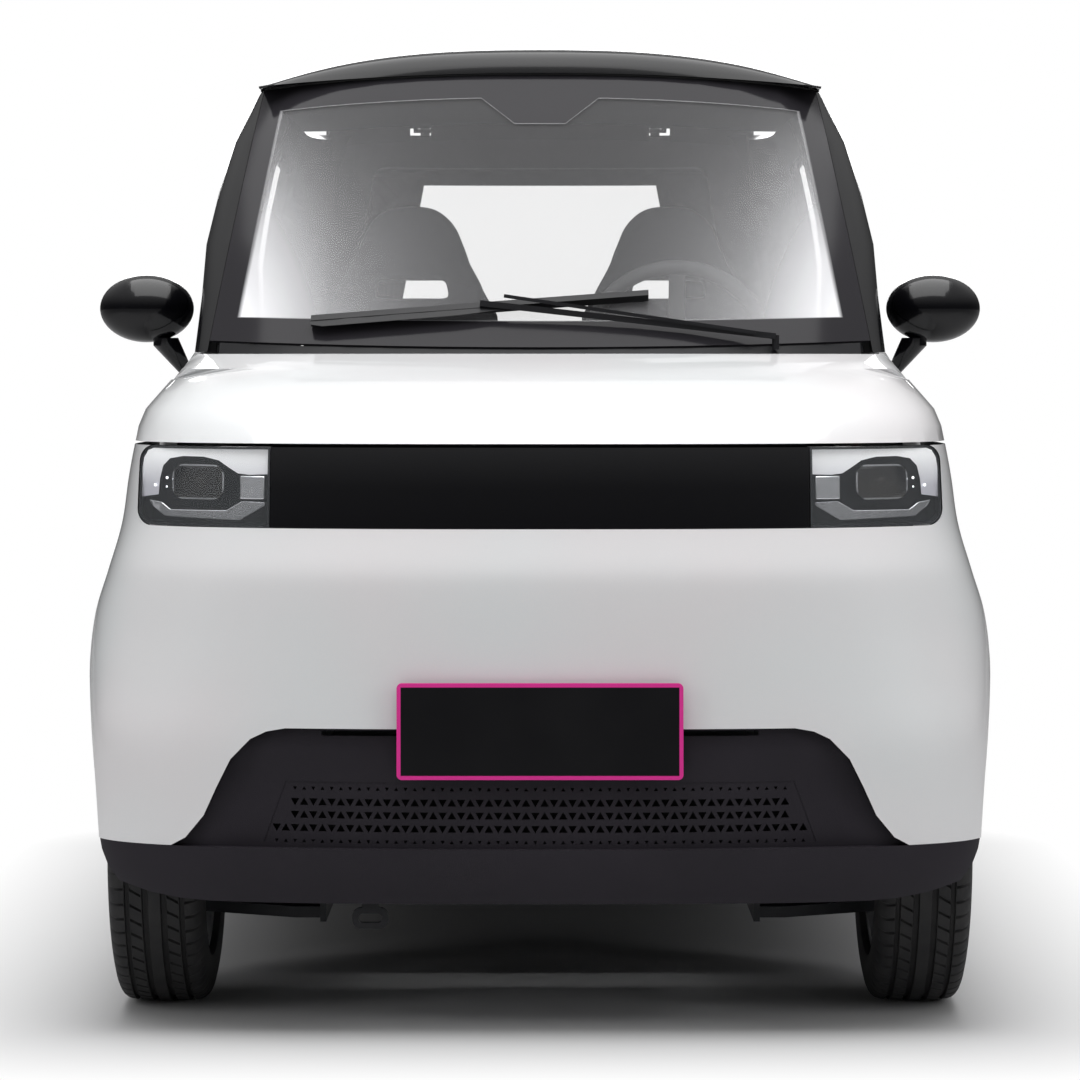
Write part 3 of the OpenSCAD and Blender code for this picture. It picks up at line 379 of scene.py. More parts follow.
# WHEELS. Pressed alloy rims with eight round holes, and narrow town tyres.
alloy = Finish("silver_alloy", (0.56, 0.57, 0.58), 0.30, Metallic=0.9, Coat_Weight=0.4)
alloy.give(Roughness=0.26 + 0.12 * alloy.noise(40, 2))
alloy.bump(alloy.noise(600, 2), 0.00004, 0.3)
rubber = Finish("tyre_rubber", (0.016, 0.016, 0.017), 0.72)
dust = rubber.noise(22, 3)
rubber.give(Base_Color=rubber.blend(dust.over(0.55, 0.4), (0.012, 0.012, 0.013), (0.028, 0.027, 0.027)),
            Roughness=0.62 + 0.2 * dust)
rubber.bump(rubber.noise(500, 2), 0.0002, 0.5)
for corner in ("front_left", "front_right", "rear_left", "rear_right"):
    dress("rim_" + corner, alloy)
    dress("tyre_" + corner, rubber)


# FULLER NOSE. The nose with both wings is one moulded skin: rounder lower corners ahead of the
# wheels, a soft crease under the lamp band, round arches and openings for insert and lamps.
# Under it sits a dark bumper lip, swept up at its ends, with the sunk insert over it.
def fresh(kind, name, scale=(1, 1, 1), **place):
    """Adds a mesh primitive with nothing else selected, its place and scale put into its mesh."""
    bpy.ops.object.select_all(action="DESELECT")
    getattr(bpy.ops.mesh, "primitive_" + kind + "_add")(**place)
    piece = bpy.context.object
    piece.name, piece.scale = name, scale
    bpy.ops.object.transform_apply(location=True, rotation=True, scale=True)
    return piece


def choose(piece, test, parts="FACE"):
    """Opens the piece in edit mode with the faces or edges that pass the test selected."""
    bpy.ops.object.mode_set(mode="EDIT")
    bpy.ops.mesh.select_mode(type=parts)
    bpy.ops.mesh.select_all(action="DESELECT")
    shell = bmesh.from_edit_mesh(piece.data)
    for part in list(shell.faces if parts == "FACE" else shell.edges):
        if test(part):
            part.select_set(True)
    bmesh.update_edit_mesh(piece.data)


def outward(piece):
    """Turns every face of the piece to the outside."""
    choose(piece, lambda face: True)
    bpy.ops.mesh.normals_make_consistent(inside=False)
    bpy.ops.object.mode_set(mode="OBJECT")


def inset(piece, test, *steps):
    """Insets the faces that pass the test, once for each (thickness, depth)."""
    choose(piece, test)
    for thickness, depth in steps:
        bpy.ops.mesh.inset(thickness=thickness, depth=depth)
    bpy.ops.object.mode_set(mode="OBJECT")


def divided(name, cuts):
    """A unit cube cut into even strips all over, to be shaped corner by corner."""
    piece = fresh("cube", name, size=1)
    choose(piece, lambda face: True)
    bpy.ops.mesh.subdivide(number_cuts=cuts)
    bpy.ops.object.mode_set(mode="OBJECT")
    return piece


def thicken(piece, thickness):
    piece.modifiers.new("wall", "SOLIDIFY").thickness = thickness


def soften(piece, width, segments=1):
    edge = piece.modifiers.new("edge", "BEVEL")
    edge.width, edge.segments = width, segments


def settle(piece, body, finish, smooth=32):
    """Applies the modifiers, then gives the piece its shading, finish and body."""
    if piece.mode == "EDIT":
        bpy.ops.object.mode_set(mode="OBJECT")
    bpy.ops.object.select_all(action="DESELECT")
    piece.select_set(True)
    bpy.context.view_layer.objects.active = piece
    for modifier in list(piece.modifiers):
        bpy.ops.object.modifier_apply(modifier=modifier.name)
    if smooth:
        bpy.ops.object.shade_smooth_by_angle(angle=math.radians(smooth))
    piece.data.materials.clear()
    piece.data.materials.append(finish.material)
    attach(piece, body)
    return piece


def ease(t):
    t = min(max(t, 0.0), 1.0)
    return t * t * (3 - 2 * t)


def between(rows, at):
    """A value read off rows of (place, value) by straight lines."""
    for (a, low), (b, high) in zip(rows, rows[1:]):
        if at <= b:
            return low + (high - low) * min(max((at - a) / (b - a), 0.0), 1.0)
    return rows[-1][1]


def flow(rows, at):
    """A value read off rows by a smooth curve."""
    i = 0
    while i < len(rows) - 2 and at >= rows[i + 1][0]:
        i += 1

    def slope(k):
        a, b = rows[max(k - 1, 0)], rows[min(k + 1, len(rows) - 1)]
        return (b[1] - a[1]) / (b[0] - a[0])
    wide = rows[i + 1][0] - rows[i][0]
    t = (at - rows[i][0]) / wide
    return rows[i][1] + (rows[i + 1][1] - rows[i][1]) * t * t * (3 - 2 * t) \
        + wide * t * (1 - t) * ((1 - t) * slope(i) - t * slope(i + 1))


tuck_rows = [(200, 14), (305, 4), (450, 0), (560, 0), (650, 3), (731, 11), (820, 20), (870, 25),
             (925, 34), (976, 45), (1015, 73), (1076, 113), (1268, 118)]
nose_rows = [(200, 45), (252, 18), (305, 8), (400, 9), (500, 13), (600, 18), (690, 24), (725, 28), (745, 34),
             (785, 49), (800, 54), (860, 62), (925, 76), (960, 108), (1000, 176), (1040, 286), (1076, 430)]
corner_rows = [(200, 200), (305, 212), (400, 226), (475, 244), (560, 300), (650, 352), (800, 390), (925, 400),
               (1000, 340), (1076, 240), (1300, 200)]
flare_rows = [(200, 0.8), (305, 0.93), (450, 1), (560, 0.98), (650, 0.78), (720, 0.38), (780, 0.08), (830, 0),
              (1650, 0)]
squareness, widest, foremost = 2.7, 0.704, -1.350
front_axle, rear_axle, hub_height = -0.870, 0.930, 0.283
flare, flare_reach = 0.041, 0.43


def half_side(z):
    """Half the skin's width at height z, without the flare over the wheels."""
    return widest - flow(tuck_rows, z * 1000) / 1000


def middle_at(z):
    """How far forward the middle of the nose lies at height z."""
    return foremost + flow(nose_rows, z * 1000) / 1000


def nose_at(x, z):
    """How far forward the new skin lies at x and z."""
    part = min(abs(x) / half_side(z), 0.999)
    corner = flow(corner_rows, z * 1000) / 1000
    return middle_at(z) + corner * (1 - (1 - part ** squareness) ** (1 / squareness))


def skin(u, z, end_y):
    """The skin at height z, with u from -1 to 1 between the side edges at end_y."""
    wide, nose, corner = half_side(z), middle_at(z), flow(corner_rows, z * 1000) / 1000
    side_start = nose + corner
    if end_y < side_start:
        last = math.degrees(math.acos(min((side_start - end_y) / corner, 1) ** (squareness / 2))) / 90
        s = abs(u) * last
    else:
        s = abs(u) / 0.7 if abs(u) < 0.7 else 1 + (abs(u) - 0.7) / 0.3
    if s < 1:
        x = wide * math.sin(math.pi / 2 * s) ** (2 / squareness)
        y = nose + corner * (1 - math.cos(math.pi / 2 * s) ** (2 / squareness))
    else:
        x, y = wide, side_start + (end_y - side_start) * (s - 1)
    swell = sum(math.cos(math.pi / 2 * (y - axle) / flare_reach) ** 2 for axle in (front_axle, rear_axle)
                if abs(y - axle) < flare_reach)
    x += flare * flow(flare_rows, z * 1000) * swell * (x / wide) ** 4
    return math.copysign(x, u), y, z


def wrapped(name, low, high, end_y, columns, rows, wall):
    """A skin round the nose from low to high, with its wall inside."""
    piece = fresh("grid", name, x_subdivisions=columns, y_subdivisions=rows, size=1)
    for corner in piece.data.vertices:
        corner.co = skin(corner.co.x * 2, low + (high - low) * (corner.co.y + 0.5), end_y)
    outward(piece)
    if sum(face.normal.y for face in piece.data.polygons) > 0:
        piece.data.flip_normals()
    shell = piece.modifiers.new("wall", "SOLIDIFY")
    shell.thickness, shell.offset = wall, -1
    bpy.ops.object.modifier_apply(modifier="wall")
    return piece


def outline(name, points, ahead, back):
    """A flat piece with the given outline seen from the front, from ahead to back in depth."""
    piece = fresh("circle", name, vertices=len(points), radius=1, fill_type="NGON")
    for corner, (x, z) in zip(piece.data.vertices, points):
        corner.co = (x, ahead, z)
    choose(piece, lambda face: True)
    bpy.ops.mesh.extrude_region_move(TRANSFORM_OT_translate={"value": (0, back - ahead, 0)})
    bpy.ops.mesh.select_all(action="SELECT")
    bpy.ops.mesh.normals_make_consistent(inside=False)
    bpy.ops.object.mode_set(mode="OBJECT")
    return piece


def carve(piece, cutter, operation="DIFFERENCE"):
    """Cuts the cutter out of the piece, or keeps what lies inside it."""
    bpy.ops.object.select_all(action="DESELECT")
    piece.select_set(True)
    bpy.context.view_layer.objects.active = piece
    cut = piece.modifiers.new("cut", "BOOLEAN")
    cut.operation, cut.object, cut.solver = operation, cutter, "EXACT"
    bpy.ops.object.modifier_apply(modifier="cut")
    bpy.data.objects.remove(cutter)


def block(low, high):
    return fresh("cube", "block", [b - a for a, b in zip(low, high)], size=1,
                 location=[(a + b) / 2 for a, b in zip(low, high)])


def rounded(x, z, wide, tall, radius, steps=8):
    """The outline of a box with round corners, about x and z."""
    points = []
    for k, (sx, sz) in enumerate(((1, 1), (-1, 1), (-1, -1), (1, -1))):
        for i in range(steps + 1):
            turn = math.radians(90 * (k + i / steps))
            points.append((x + sx * (wide - radius) + radius * math.cos(turn),
                           z + sz * (tall - radius) + radius * math.sin(turn)))
    return points


insert_rows = [(155, -8), (173, 2), (193, 13), (222, 48), (243, 94), (264, 136), (295, 167), (320, 179), (350,
               184.5)]


def insert_outline(grow):
    """The insert's outline through its rows, mirrored about the middle."""
    half = [(0.745 - a / 1000 + grow, 0.305 + b / 1000 + (grow if b > 150 else 0)) for a, b in insert_rows]
    return half + [(-x, z) for x, z in half[::-1]]


arch_radius = 0.315


def arches():
    """A drum for each front wheel, to cut the round arches with."""
    return [fresh("cylinder", "arch", vertices=96, radius=arch_radius, depth=0.5,
                  location=(side * 0.8, front_axle, hub_height), rotation=(0, math.radians(90), 0))
            for side in (1, -1)]


nose_skin = wrapped("front_body_skin", 0.305, 1.076, -0.528, 128, 64, 0.004)
for cutter in arches():
    carve(nose_skin, cutter)
carve(nose_skin, outline("cut", insert_outline(0.0008), -1.40, -1.02))
band_height = 0.862
carve(nose_skin, outline("cut", rounded(0, band_height, 0.6488, 0.0638, 0.0268, 10), -1.40, -0.89))
carve(nose_skin, block((-0.7, -1.36, 0.925), (0.7, -0.77, 1.086)))
carve(nose_skin, block((-0.618, -1.36, 0.895), (0.618, -0.89, 1.076)))
settle(nose_skin, "body", pearl_white, 25)
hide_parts("front_body")
for panel, axle in ((nose_skin, front_axle), (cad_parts["rear_body"], rear_axle)):
    panel.data.materials.append(satin_black.material)
    for face in panel.data.polygons:
        spoke = face.center - Vector((face.center.x, axle, hub_height))
        inward = face.normal.x * face.center.x < -0.05
        lip_of_arch = spoke.length < arch_radius + 0.015 and face.normal.dot(spoke) < -0.05
        if inward or lip_of_arch:
            face.material_index = 1

lip_rows = [(30, 20), (47, 3), (51, -16), (62, -40), (81, -63), (131, -77), (181, -85), (229, -88),
            (400, -88.5)]
lip = wrapped("front_lip", 0.200, 0.3042, -1.02, 96, 12, 0.004)
for cutter in arches():
    carve(lip, cutter)
lip_half = [(0.745 - a / 1000, 0.305 + b / 1000) for a, b in lip_rows]
carve(lip, outline("cut", lip_half + [(-x, z) for x, z in lip_half[::-1]], -1.40, -0.9), "INTERSECT")
settle(lip, "body", bumper_grain, 30)
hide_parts("front_bumper")


def sunk(name, points, depth, wall, step=0.02):
    """A flat outline cut into narrow columns and laid behind the nose's skin at a depth."""
    piece = outline(name, points, 0, wall)
    bpy.ops.object.mode_set(mode="EDIT")
    xs, zs = [p[0] for p in points], [p[1] for p in points]
    for axis, low, high in ((0, min(xs), max(xs)), (2, min(zs), max(zs))):
        at = low + step
        while at < high - 0.0005:
            bpy.ops.mesh.select_all(action="SELECT")
            bpy.ops.mesh.bisect(plane_co=[at if k == axis else 0 for k in range(3)],
                                plane_no=[k == axis for k in range(3)])
            at += step
    bpy.ops.object.mode_set(mode="OBJECT")
    for corner in piece.data.vertices:
        corner.co.y += nose_at(corner.co.x, corner.co.z) + depth
    return piece


def on_nose(node, x, z):
    """How far forward the front of a CAD node lies at x and z."""
    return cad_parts[node].ray_cast(Vector((x, -3, z)), Vector((0, 1, 0)))[1].y


depth_rows = [(x / 100, on_nose("front_grille", x / 100, 0.36)) for x in range(0, 42, 3)]
slope = (depth_rows[-1][1] - depth_rows[-2][1]) / 0.03
depth_rows.append((0.56, depth_rows[-1][1] + slope * (0.56 - depth_rows[-1][0])))
insert = sunk("front_insert", insert_outline(-0.0003), 0.016, 0.006)
for corner in insert.data.vertices:
    x, z = abs(corner.co.x), corner.co.z
    dish = ease((0.545 - x) / 0.10) * ease((0.465 - z) / 0.05)
    corner.co.y += dish * (between(depth_rows, x) - 0.0012 - nose_at(x, z) - 0.016)
grille_opening = [(-0.4312, 0.3108), (0.4312, 0.3108), (0.3964, 0.4062), (-0.3964, 0.4062)]
carve(insert, outline("cut", grille_opening, -1.40, -1.1))
carve(insert, outline("cut", rounded(0, 0.482, 0.34, 0.004, 0.0035, 4), -1.40, -1.1))
settle(insert, "body", bumper_grain, 30)
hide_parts("front_bumper")
ledge_rows = rounded(0, 0.2995, 0.56, 0.0045, 0.002, 2)
ledge = sunk("lip_ledge", ledge_rows, 0.001, 0.021)
settle(ledge, "body", bumper_grain, 30)
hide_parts("front_bumper")


# ROOF BROW. The black moulding that fills the step between the screen's top edge and the
# roof panel: a crowned strip that rises from the glass and runs back over the roof.
brow = fresh("grid", "roof_brow", x_subdivisions=48, y_subdivisions=14, size=1)
brow_back = [(0.0, -0.378), (0.08, -0.3745), (0.16, -0.369), (0.26, -0.357), (0.38, -0.33), (0.52, -0.27),
             (0.7, -0.14), (0.85, 0.02), (1.0, 0.20)]
brow_rise = [(0.0, 0.02), (0.08, 0.30), (0.16, 0.58), (0.26, 0.80), (0.38, 0.925), (0.52, 0.975), (0.7, 1.0),
             (0.85, 0.985), (1.0, 0.95)]
for corner in brow.data.vertices:
    u, v = corner.co.x * 2, corner.co.y + 0.5
    back, rise = between(brow_back, v), between(brow_rise, v)
    crown = 1 - abs(u) ** 3.2
    foot = 1.5775 - 0.0215 * abs(u) ** 2
    corner.co = (0.506 * u, back + 0.020 * abs(u) ** 2.4, foot + 0.052 * rise * crown)
thicken(brow, 0.004)
settle(brow, "body", gloss_black, 50)


# FRONT GRILLE. A moulded sheet in the bumper's opening, pierced by rows of triangles that
# point up and down in pairs, with smaller ones along its upper and lower edges.
def joined(pieces, name):
    bpy.ops.object.select_all(action="DESELECT")
    for piece in pieces:
        piece.select_set(True)
    bpy.context.view_layer.objects.active = pieces[0]
    bpy.ops.object.join()
    pieces[0].name = name
    return pieces[0]


pitch = 0.0288
hole_rows = ((0.3135, 0.0038, 14), (0.334, 0.0079, 14), (0.3545, 0.0079, 13), (0.3745, 0.0079, 13),
             (0.3955, 0.0038, 13))
grille_height = 0.3585
grille = fresh("plane", "front_grille_sheet", (0.865, 0.098, 1), size=1, location=(0, 0, grille_height),
               rotation=(math.radians(90), 0, 0))
for corner in grille.data.vertices:
    corner.co.x *= 1.0 if corner.co.z < 0.35 else 0.92
choose(grille, lambda edge: abs(edge.verts[0].co.z - edge.verts[1].co.z) < 0.001, "EDGE")
bpy.ops.mesh.subdivide(number_cuts=31)
bpy.ops.mesh.select_all(action="SELECT")
bpy.ops.mesh.extrude_region_move(TRANSFORM_OT_translate={"value": (0, 0.003, 0)})
bpy.ops.mesh.select_all(action="SELECT")
bpy.ops.mesh.normals_make_consistent(inside=False)
bpy.ops.object.mode_set(mode="OBJECT")
cutters = []
for z, size, count in hole_rows:
    for i in range(-count, count + 1):
        for point_up in (-1, 1):
            cutters.append(((i + point_up / 4) * pitch, z - point_up * size * 0.18, size, point_up))
cutter_mesh = bmesh.new()
for x, z, size, point_up in cutters:
    ring = [Vector((x + size * math.cos(math.radians(point_up * 90 + turn)), 0,
                    z + size * math.sin(math.radians(point_up * 90 + turn)))) for turn in (0, 120, 240)]
    near = [cutter_mesh.verts.new(corner + Vector((0, -0.01, 0))) for corner in ring]
    away = [cutter_mesh.verts.new(corner + Vector((0, 0.01, 0))) for corner in ring]
    cutter_mesh.faces.new(near)
    cutter_mesh.faces.new(away[::-1])
    for k in range(3):
        cutter_mesh.faces.new((near[k], away[k], away[(k + 1) % 3], near[(k + 1) % 3]))
bmesh.ops.recalc_face_normals(cutter_mesh, faces=cutter_mesh.faces)
punch_data = bpy.data.meshes.new("punch")
cutter_mesh.to_mesh(punch_data)
cutter_mesh.free()
punch = bpy.data.objects.new("punch", punch_data)
bpy.context.scene.collection.objects.link(punch)
carve(grille, punch)
for corner in grille.data.vertices:
    corner.co.y += between(depth_rows, abs(corner.co.x))
settle(grille, "body", bumper_grain, 25)
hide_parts("front_grille")


# LAMP INTERNALS. A silver shroud with a painted glow over a dark field, a round-cornered projector in a thin
# chrome ring, a square silver marker, a light bar bent down round the field's lower edge and three glowing dots
# that are painted highlights.
bright_metal = Finish("lamp_chrome", roughness=0.22, Metallic=0.85)
bright_metal.give(Base_Color=bright_metal.blend(bright_metal.noise(60, 2), (0.62, 0.63, 0.66),
                                                (0.80, 0.81, 0.84)))
# Painted glow: the shroud is no lamp, yet it glows faintly in its own colour, and both colour and glow are lighter
# above 0.885 m, painted light for a part that sits shaded in its recess.
silver_with_painted_glow = Finish("lamp_silver_painted_glow", roughness=0.35, Emission_Strength=0.22)
x, y, z = silver_with_painted_glow.place()
upper_glow = z.over(0.885, 0.05)
silver_glow_tone = silver_with_painted_glow.blend(upper_glow, (0.40, 0.40, 0.44), (0.84, 0.85, 0.86))
silver_with_painted_glow.give(Base_Color=silver_glow_tone, Emission_Color=silver_glow_tone)
dark_lens = Finish("projector_glass", roughness=0.05, Coat_Weight=1.0, Coat_Roughness=0.01)
dark_lens.give(Base_Color=dark_lens.blend(dark_lens.noise(30, 2), (0.004, 0.004, 0.006), (0.030, 0.026, 0.020)))
# Painted highlights: the three dots glow white to stand in for glints of light on the lamp, which is not lit.
painted_glint = Finish("painted_glint_glow", (0.9, 0.9, 0.92), 0.3, Emission_Strength=2.5)
painted_glint.give(Emission_Color=painted_glint.blend(painted_glint.noise(40, 1), (0.9, 0.92, 1.0), (1.0, 1.0, 1.0)))

projector_x, projector_z = 0.5445, 0.8685
front_of = [(x / 1000, on_nose("headlamp_lenses", x / 1000, band_height)) for x in range(430, 641, 15)]
for side, tag in sides:

    def bend(piece):
        """Leans a flat lamp piece back along the lens."""
        for corner in piece.data.vertices:
            corner.co.y += between(front_of, abs(corner.co.x))
            above = corner.co.z - band_height
            corner.co.y += (0.30 if above > 0 else 0.12) * above

    def cut_up(piece, step=0.012):
        """Bisects the piece across x so that it can bend."""
        bpy.ops.object.mode_set(mode="EDIT")
        spans = [corner.co.x for corner in bmesh.from_edit_mesh(piece.data).verts]
        at = min(spans) + step
        while at < max(spans):
            bpy.ops.mesh.select_all(action="SELECT")
            bpy.ops.mesh.bisect(plane_co=(at, 0, 0), plane_no=(1, 0, 0))
            at += step
        bpy.ops.object.mode_set(mode="OBJECT")

    field = [(0.4262, 0.882), (0.4262, 0.9215), (0.6215, 0.9215), (0.6330, 0.917), (0.6405, 0.905),
             (0.6425, 0.890), (0.6425, 0.842), (0.632, 0.8440), (0.6120, 0.8470), (0.6100, 0.872),
             (0.6050, 0.893), (0.5930, 0.9050), (0.5700, 0.9090), (0.5350, 0.9085), (0.5100, 0.9030),
             (0.4930, 0.8920), (0.4780, 0.8830), (0.4600, 0.8810)]
    shroud = outline("lamp_shroud_" + tag, [(side * px, pz) for px, pz in field], 0.012, 0.015)
    cut_up(shroud)
    bend(shroud)
    settle(shroud, "body", silver_with_painted_glow, 40)

    ring = outline("projector_ring_" + tag, rounded(side * projector_x, projector_z, 0.0435, 0.0275, 0.0185),
                   0.016, 0.050)
    choose(ring, lambda face: face.normal.y < -0.9)
    bpy.ops.mesh.inset(thickness=0.0022, depth=0)
    bpy.ops.mesh.extrude_region_move(TRANSFORM_OT_translate={"value": (0, 0.014, 0)})
    cut_up(ring, 0.03)
    bend(ring)
    settle(ring, "body", bright_metal, 30)
    ring.data.materials.append(dark_lens.material)
    for face in ring.data.polygons:
        beside = abs(abs(face.center.x) - projector_x) / 0.0412
        over = abs(face.center.z - projector_z) / 0.0252
        if max(beside, over) < 0.985:
            face.material_index = 1
    dome = fresh("uv_sphere", "projector_lens_" + tag, (0.024, 0.020, 0.0215), segments=40, ring_count=20,
                 radius=1, location=(side * projector_x, 0.050, projector_z))
    inset(dome, lambda face: face.normal.y < -0.93, (0.0012, -0.0008))
    bend(dome)
    settle(dome, "body", dark_lens, 60)

    marker = outline("lamp_marker_" + tag, rounded(side * 0.4540, 0.8610, 0.0195, 0.0180, 0.002, 3),
                     0.010, 0.030)
    inset(marker, lambda face: face.normal.y < -0.9, (0.0016, 0.0010))
    bend(marker)
    settle(marker, "body", bright_metal, 25)

    bar_points = [(0.4330, 0.8380), (0.4700, 0.8395), (0.4960, 0.8245), (0.5900, 0.8240), (0.6060, 0.8350),
                  (0.6290, 0.8380), (0.6220, 0.8280), (0.6000, 0.8130), (0.4740, 0.8090), (0.4330, 0.8330)]
    bar = outline("light_bar_" + tag, [(side * px, pz) for px, pz in bar_points], 0.010, 0.024)
    cut_up(bar)
    bend(bar)
    soften(bar, 0.0010)
    settle(bar, "body", bright_metal, 30)

    # Three small domes that glow as painted highlights.
    dots = []
    for px, pz, size in ((0.597, 0.8740, 0.0021), (0.597, 0.8600, 0.0014), (0.618, 0.8620, 0.0022)):
        dot = fresh("ico_sphere", "dot", subdivisions=2, radius=size, location=(side * px, 0.010, pz))
        bend(dot)
        dots.append(dot)
    settle(joined(dots, "lamp_glints_" + tag), "body", painted_glint, 60)


# TYRES. Radial town tyres: four grooves round the tread, slanted sipes across the ribs
# and a plain side wall with a raised ring above the bead.
def tyre_rows():
    """Across the tyre from inside to outside: distance, radius and whether a sipe cuts the row."""
    half = [(0, 283.0, 0), (5, 283.0, 0), (9.6, 283.0, 0), (11.2, 276.4, 0), (18.4, 276.4, 0), (20.0, 282.8, 0),
            (21.5, 282.8, 1), (29, 282.6, 1), (38.0, 282.4, 1), (39.6, 282.4, 0), (41.2, 276.0, 0),
            (46.6, 276.0, 0), (48.2, 281.6, 0), (49.6, 281.4, 1), (56, 280.6, 1), (62, 278.4, 1), (67, 274.6, 1),
            (70.5, 269.8, 1), (73.0, 264.0, 0), (75.4, 254.0, 0), (77.3, 244.0, 0), (78.0, 232.0, 0),
            (76.6, 222.0, 0), (75.9, 219.0, 0), (76.2, 216.5, 0), (73.6, 209.5, 0), (66, 206.6, 0), (61, 205.4, 0)]
    return [(-t, r, cut) for t, r, cut in half[:0:-1]] + half


slant_rows = [(-78, 4), (-48, 0), (-40, 0), (-20, 12), (-11, 12), (11, 12), (20, 12), (40, 24), (48, 24),
              (78, 20)]
tyre_radius, sipe_depth, shoulder_depth = 283, 4.2, 2.4
pitches, steps = 66, (0.0, 0.36, 0.44, 0.50, 0.58)
rows = tyre_rows()
columns = pitches * len(steps)
carcass = fresh("grid", "tyre_carcass", x_subdivisions=columns, y_subdivisions=len(rows) - 1, size=1)
for corner in carcass.data.vertices:
    column = round((corner.co.x + 0.5) * columns)
    across, radius, cut = rows[round((corner.co.y + 0.5) * (len(rows) - 1))]
    block, step = divmod(column, len(steps))
    turn = (block + steps[step]) / pitches * 2 * math.pi + between(slant_rows, across) / tyre_radius
    if cut and step in (2, 3):
        radius -= sipe_depth if abs(across) < 60 else shoulder_depth
    corner.co = (across / 1000, radius / 1000 * math.cos(turn), radius / 1000 * math.sin(turn))
choose(carcass, lambda face: True)
bpy.ops.mesh.remove_doubles(threshold=0.00002)
bpy.ops.mesh.normals_make_consistent(inside=True)
bpy.ops.object.mode_set(mode="OBJECT")
for corner in ("front_left", "front_right", "rear_left", "rear_right"):
    low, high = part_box("tyre_" + corner)
    cover = carcass.copy()
    cover.data = carcass.data.copy()
    cover.name = "tread_" + corner
    bpy.context.scene.collection.objects.link(cover)
    cover.data.transform(Matrix.Translation([(a + b) / 2 for a, b in zip(low, high)]))
    settle(cover, "wheel_" + corner, rubber, 34)
    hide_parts("tyre_" + corner)
bpy.data.objects.remove(carcass)


# WHEEL BOLTS AND CAPS. Four hexagon bolts on each hub and a plain domed cap over its nut.
hub_across = 0.617
for corner in ("front_left", "front_right", "rear_left", "rear_right"):
    side = 1 if corner.endswith("left") else -1
    low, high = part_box("rim_" + corner)
    middle = Vector([(a + b) / 2 for a, b in zip(low, high)])
    face_x = side * (hub_across + 0.0262)
    heads = []
    for quarter in range(4):
        turn = math.radians(22 + 90 * quarter)
        head = fresh("cylinder", "bolt", vertices=6, radius=0.0085, depth=0.012,
                     location=(face_x, middle.y + 0.031 * math.cos(turn), middle.z + 0.031 * math.sin(turn)),
                     rotation=(0, math.radians(90), 0))
        inset(head, lambda face: face.normal.x * side > 0.9, (0.0016, 0.0014))
        heads.append(head)
    settle(joined(heads, "wheel_bolts_" + corner), "wheel_" + corner, cast_metal, 30)
    cap = fresh("uv_sphere", "hub_cap_" + corner, (0.006, 0.0205, 0.0205), segments=36, ring_count=18, radius=1,
                location=(side * (hub_across + 0.032), middle.y, middle.z))
    inset(cap, lambda face: face.normal.x * side > 0.97, (0.0015, -0.0006))
    settle(cap, "wheel_" + corner, satin_black, 50)


# SEATS. Foam pads in grey cloth on a moulded base: a cushion, and a back whose shoulders
# narrow to a fixed headrest with a slot through it. Sewn channels run across both.
def puff(piece, voxel, swell, cap):
    """Rounds a pad: voxel remesh, then 20 frames of cloth under pressure, held to a cap."""
    bpy.ops.object.select_all(action="DESELECT")
    piece.select_set(True)
    bpy.context.view_layer.objects.active = piece
    remesh = piece.modifiers.new("even", "REMESH")
    remesh.mode, remesh.voxel_size = "VOXEL", voxel
    bpy.ops.object.modifier_apply(modifier="even")
    before = [corner.co.copy() for corner in piece.data.vertices]
    cloth = piece.modifiers.new("cloth", "CLOTH")
    cloth.settings.use_pressure = True
    cloth.settings.uniform_pressure_force = swell
    cloth.settings.effector_weights.gravity = 0
    cloth.settings.quality = 4
    for moment in range(1, 21):
        bpy.context.scene.frame_set(moment)
    bpy.ops.object.modifier_apply(modifier="cloth")
    for corner, start in zip(piece.data.vertices, before):
        moved = corner.co - start
        if moved.length > cap:
            corner.co = start + moved.normalized() * cap
    bpy.context.scene.frame_set(1)


def sew(piece, seams, depth, width):
    """Pulls the surface in along seams, each given as a distance from a point."""
    inward = [-corner.normal for corner in piece.data.vertices]
    for corner, way in zip(piece.data.vertices, inward):
        near = min(seam(corner.co) for seam in seams)
        if near < width * 2.5:
            corner.co += way * depth * math.exp(-(near / width) ** 2)


cloth_grey = Finish("cloth_grey", roughness=0.9, Specular_IOR_Level=0.1, Sheen_Weight=0.15)
x, y, z = cloth_grey.place()
weave = ((x * 2600).sine() * ((y + z) * 2600).sine() + 1) * 0.5
worn = 0.5 + 0.5 * cloth_grey.noise(60, 3)
cloth_grey.give(Base_Color=cloth_grey.blend(weave & worn, (0.016, 0.016, 0.019), (0.062, 0.062, 0.068)))
cloth_grey.bump(weave, 0.0004, 0.5)
seat_low, seat_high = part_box("seat_left")
seat_mid = (seat_low[0] + seat_high[0]) / 2
back_rows = [(0.48, 0.172), (0.80, 0.186), (1.05, 0.190), (1.16, 0.182), (1.215, 0.150), (1.27, 0.122),
             (1.34, 0.106), (1.40, 0.088)]
back_pad = divided("seat_back_left", 23)
for corner in back_pad.data.vertices:
    u, v, w = corner.co.x * 2, corner.co.y + 0.5, corner.co.z + 0.5
    high = 0.485 + 0.900 * w
    wide = between(back_rows, high)
    side_pull = 1 - 0.30 * abs(u) ** 4 if high < 1.2 else 1 - 0.15 * abs(u) ** 4
    deep = (0.115 - 0.065 * ease((high - 0.6) / 0.75)) * side_pull
    front = 0.405 + 0.118 * ease((high - 0.485) / 0.95) - 0.030 * abs(u) ** 3 * (1 - ease((high - 1.0) / 0.25))
    top = 1 - 0.035 * abs(u) ** 3 * ease((high - 1.25) / 0.15)
    corner.co = (seat_mid + u * wide, front + deep * (v - 0.5) * 0.75 + 0.012, high * top)
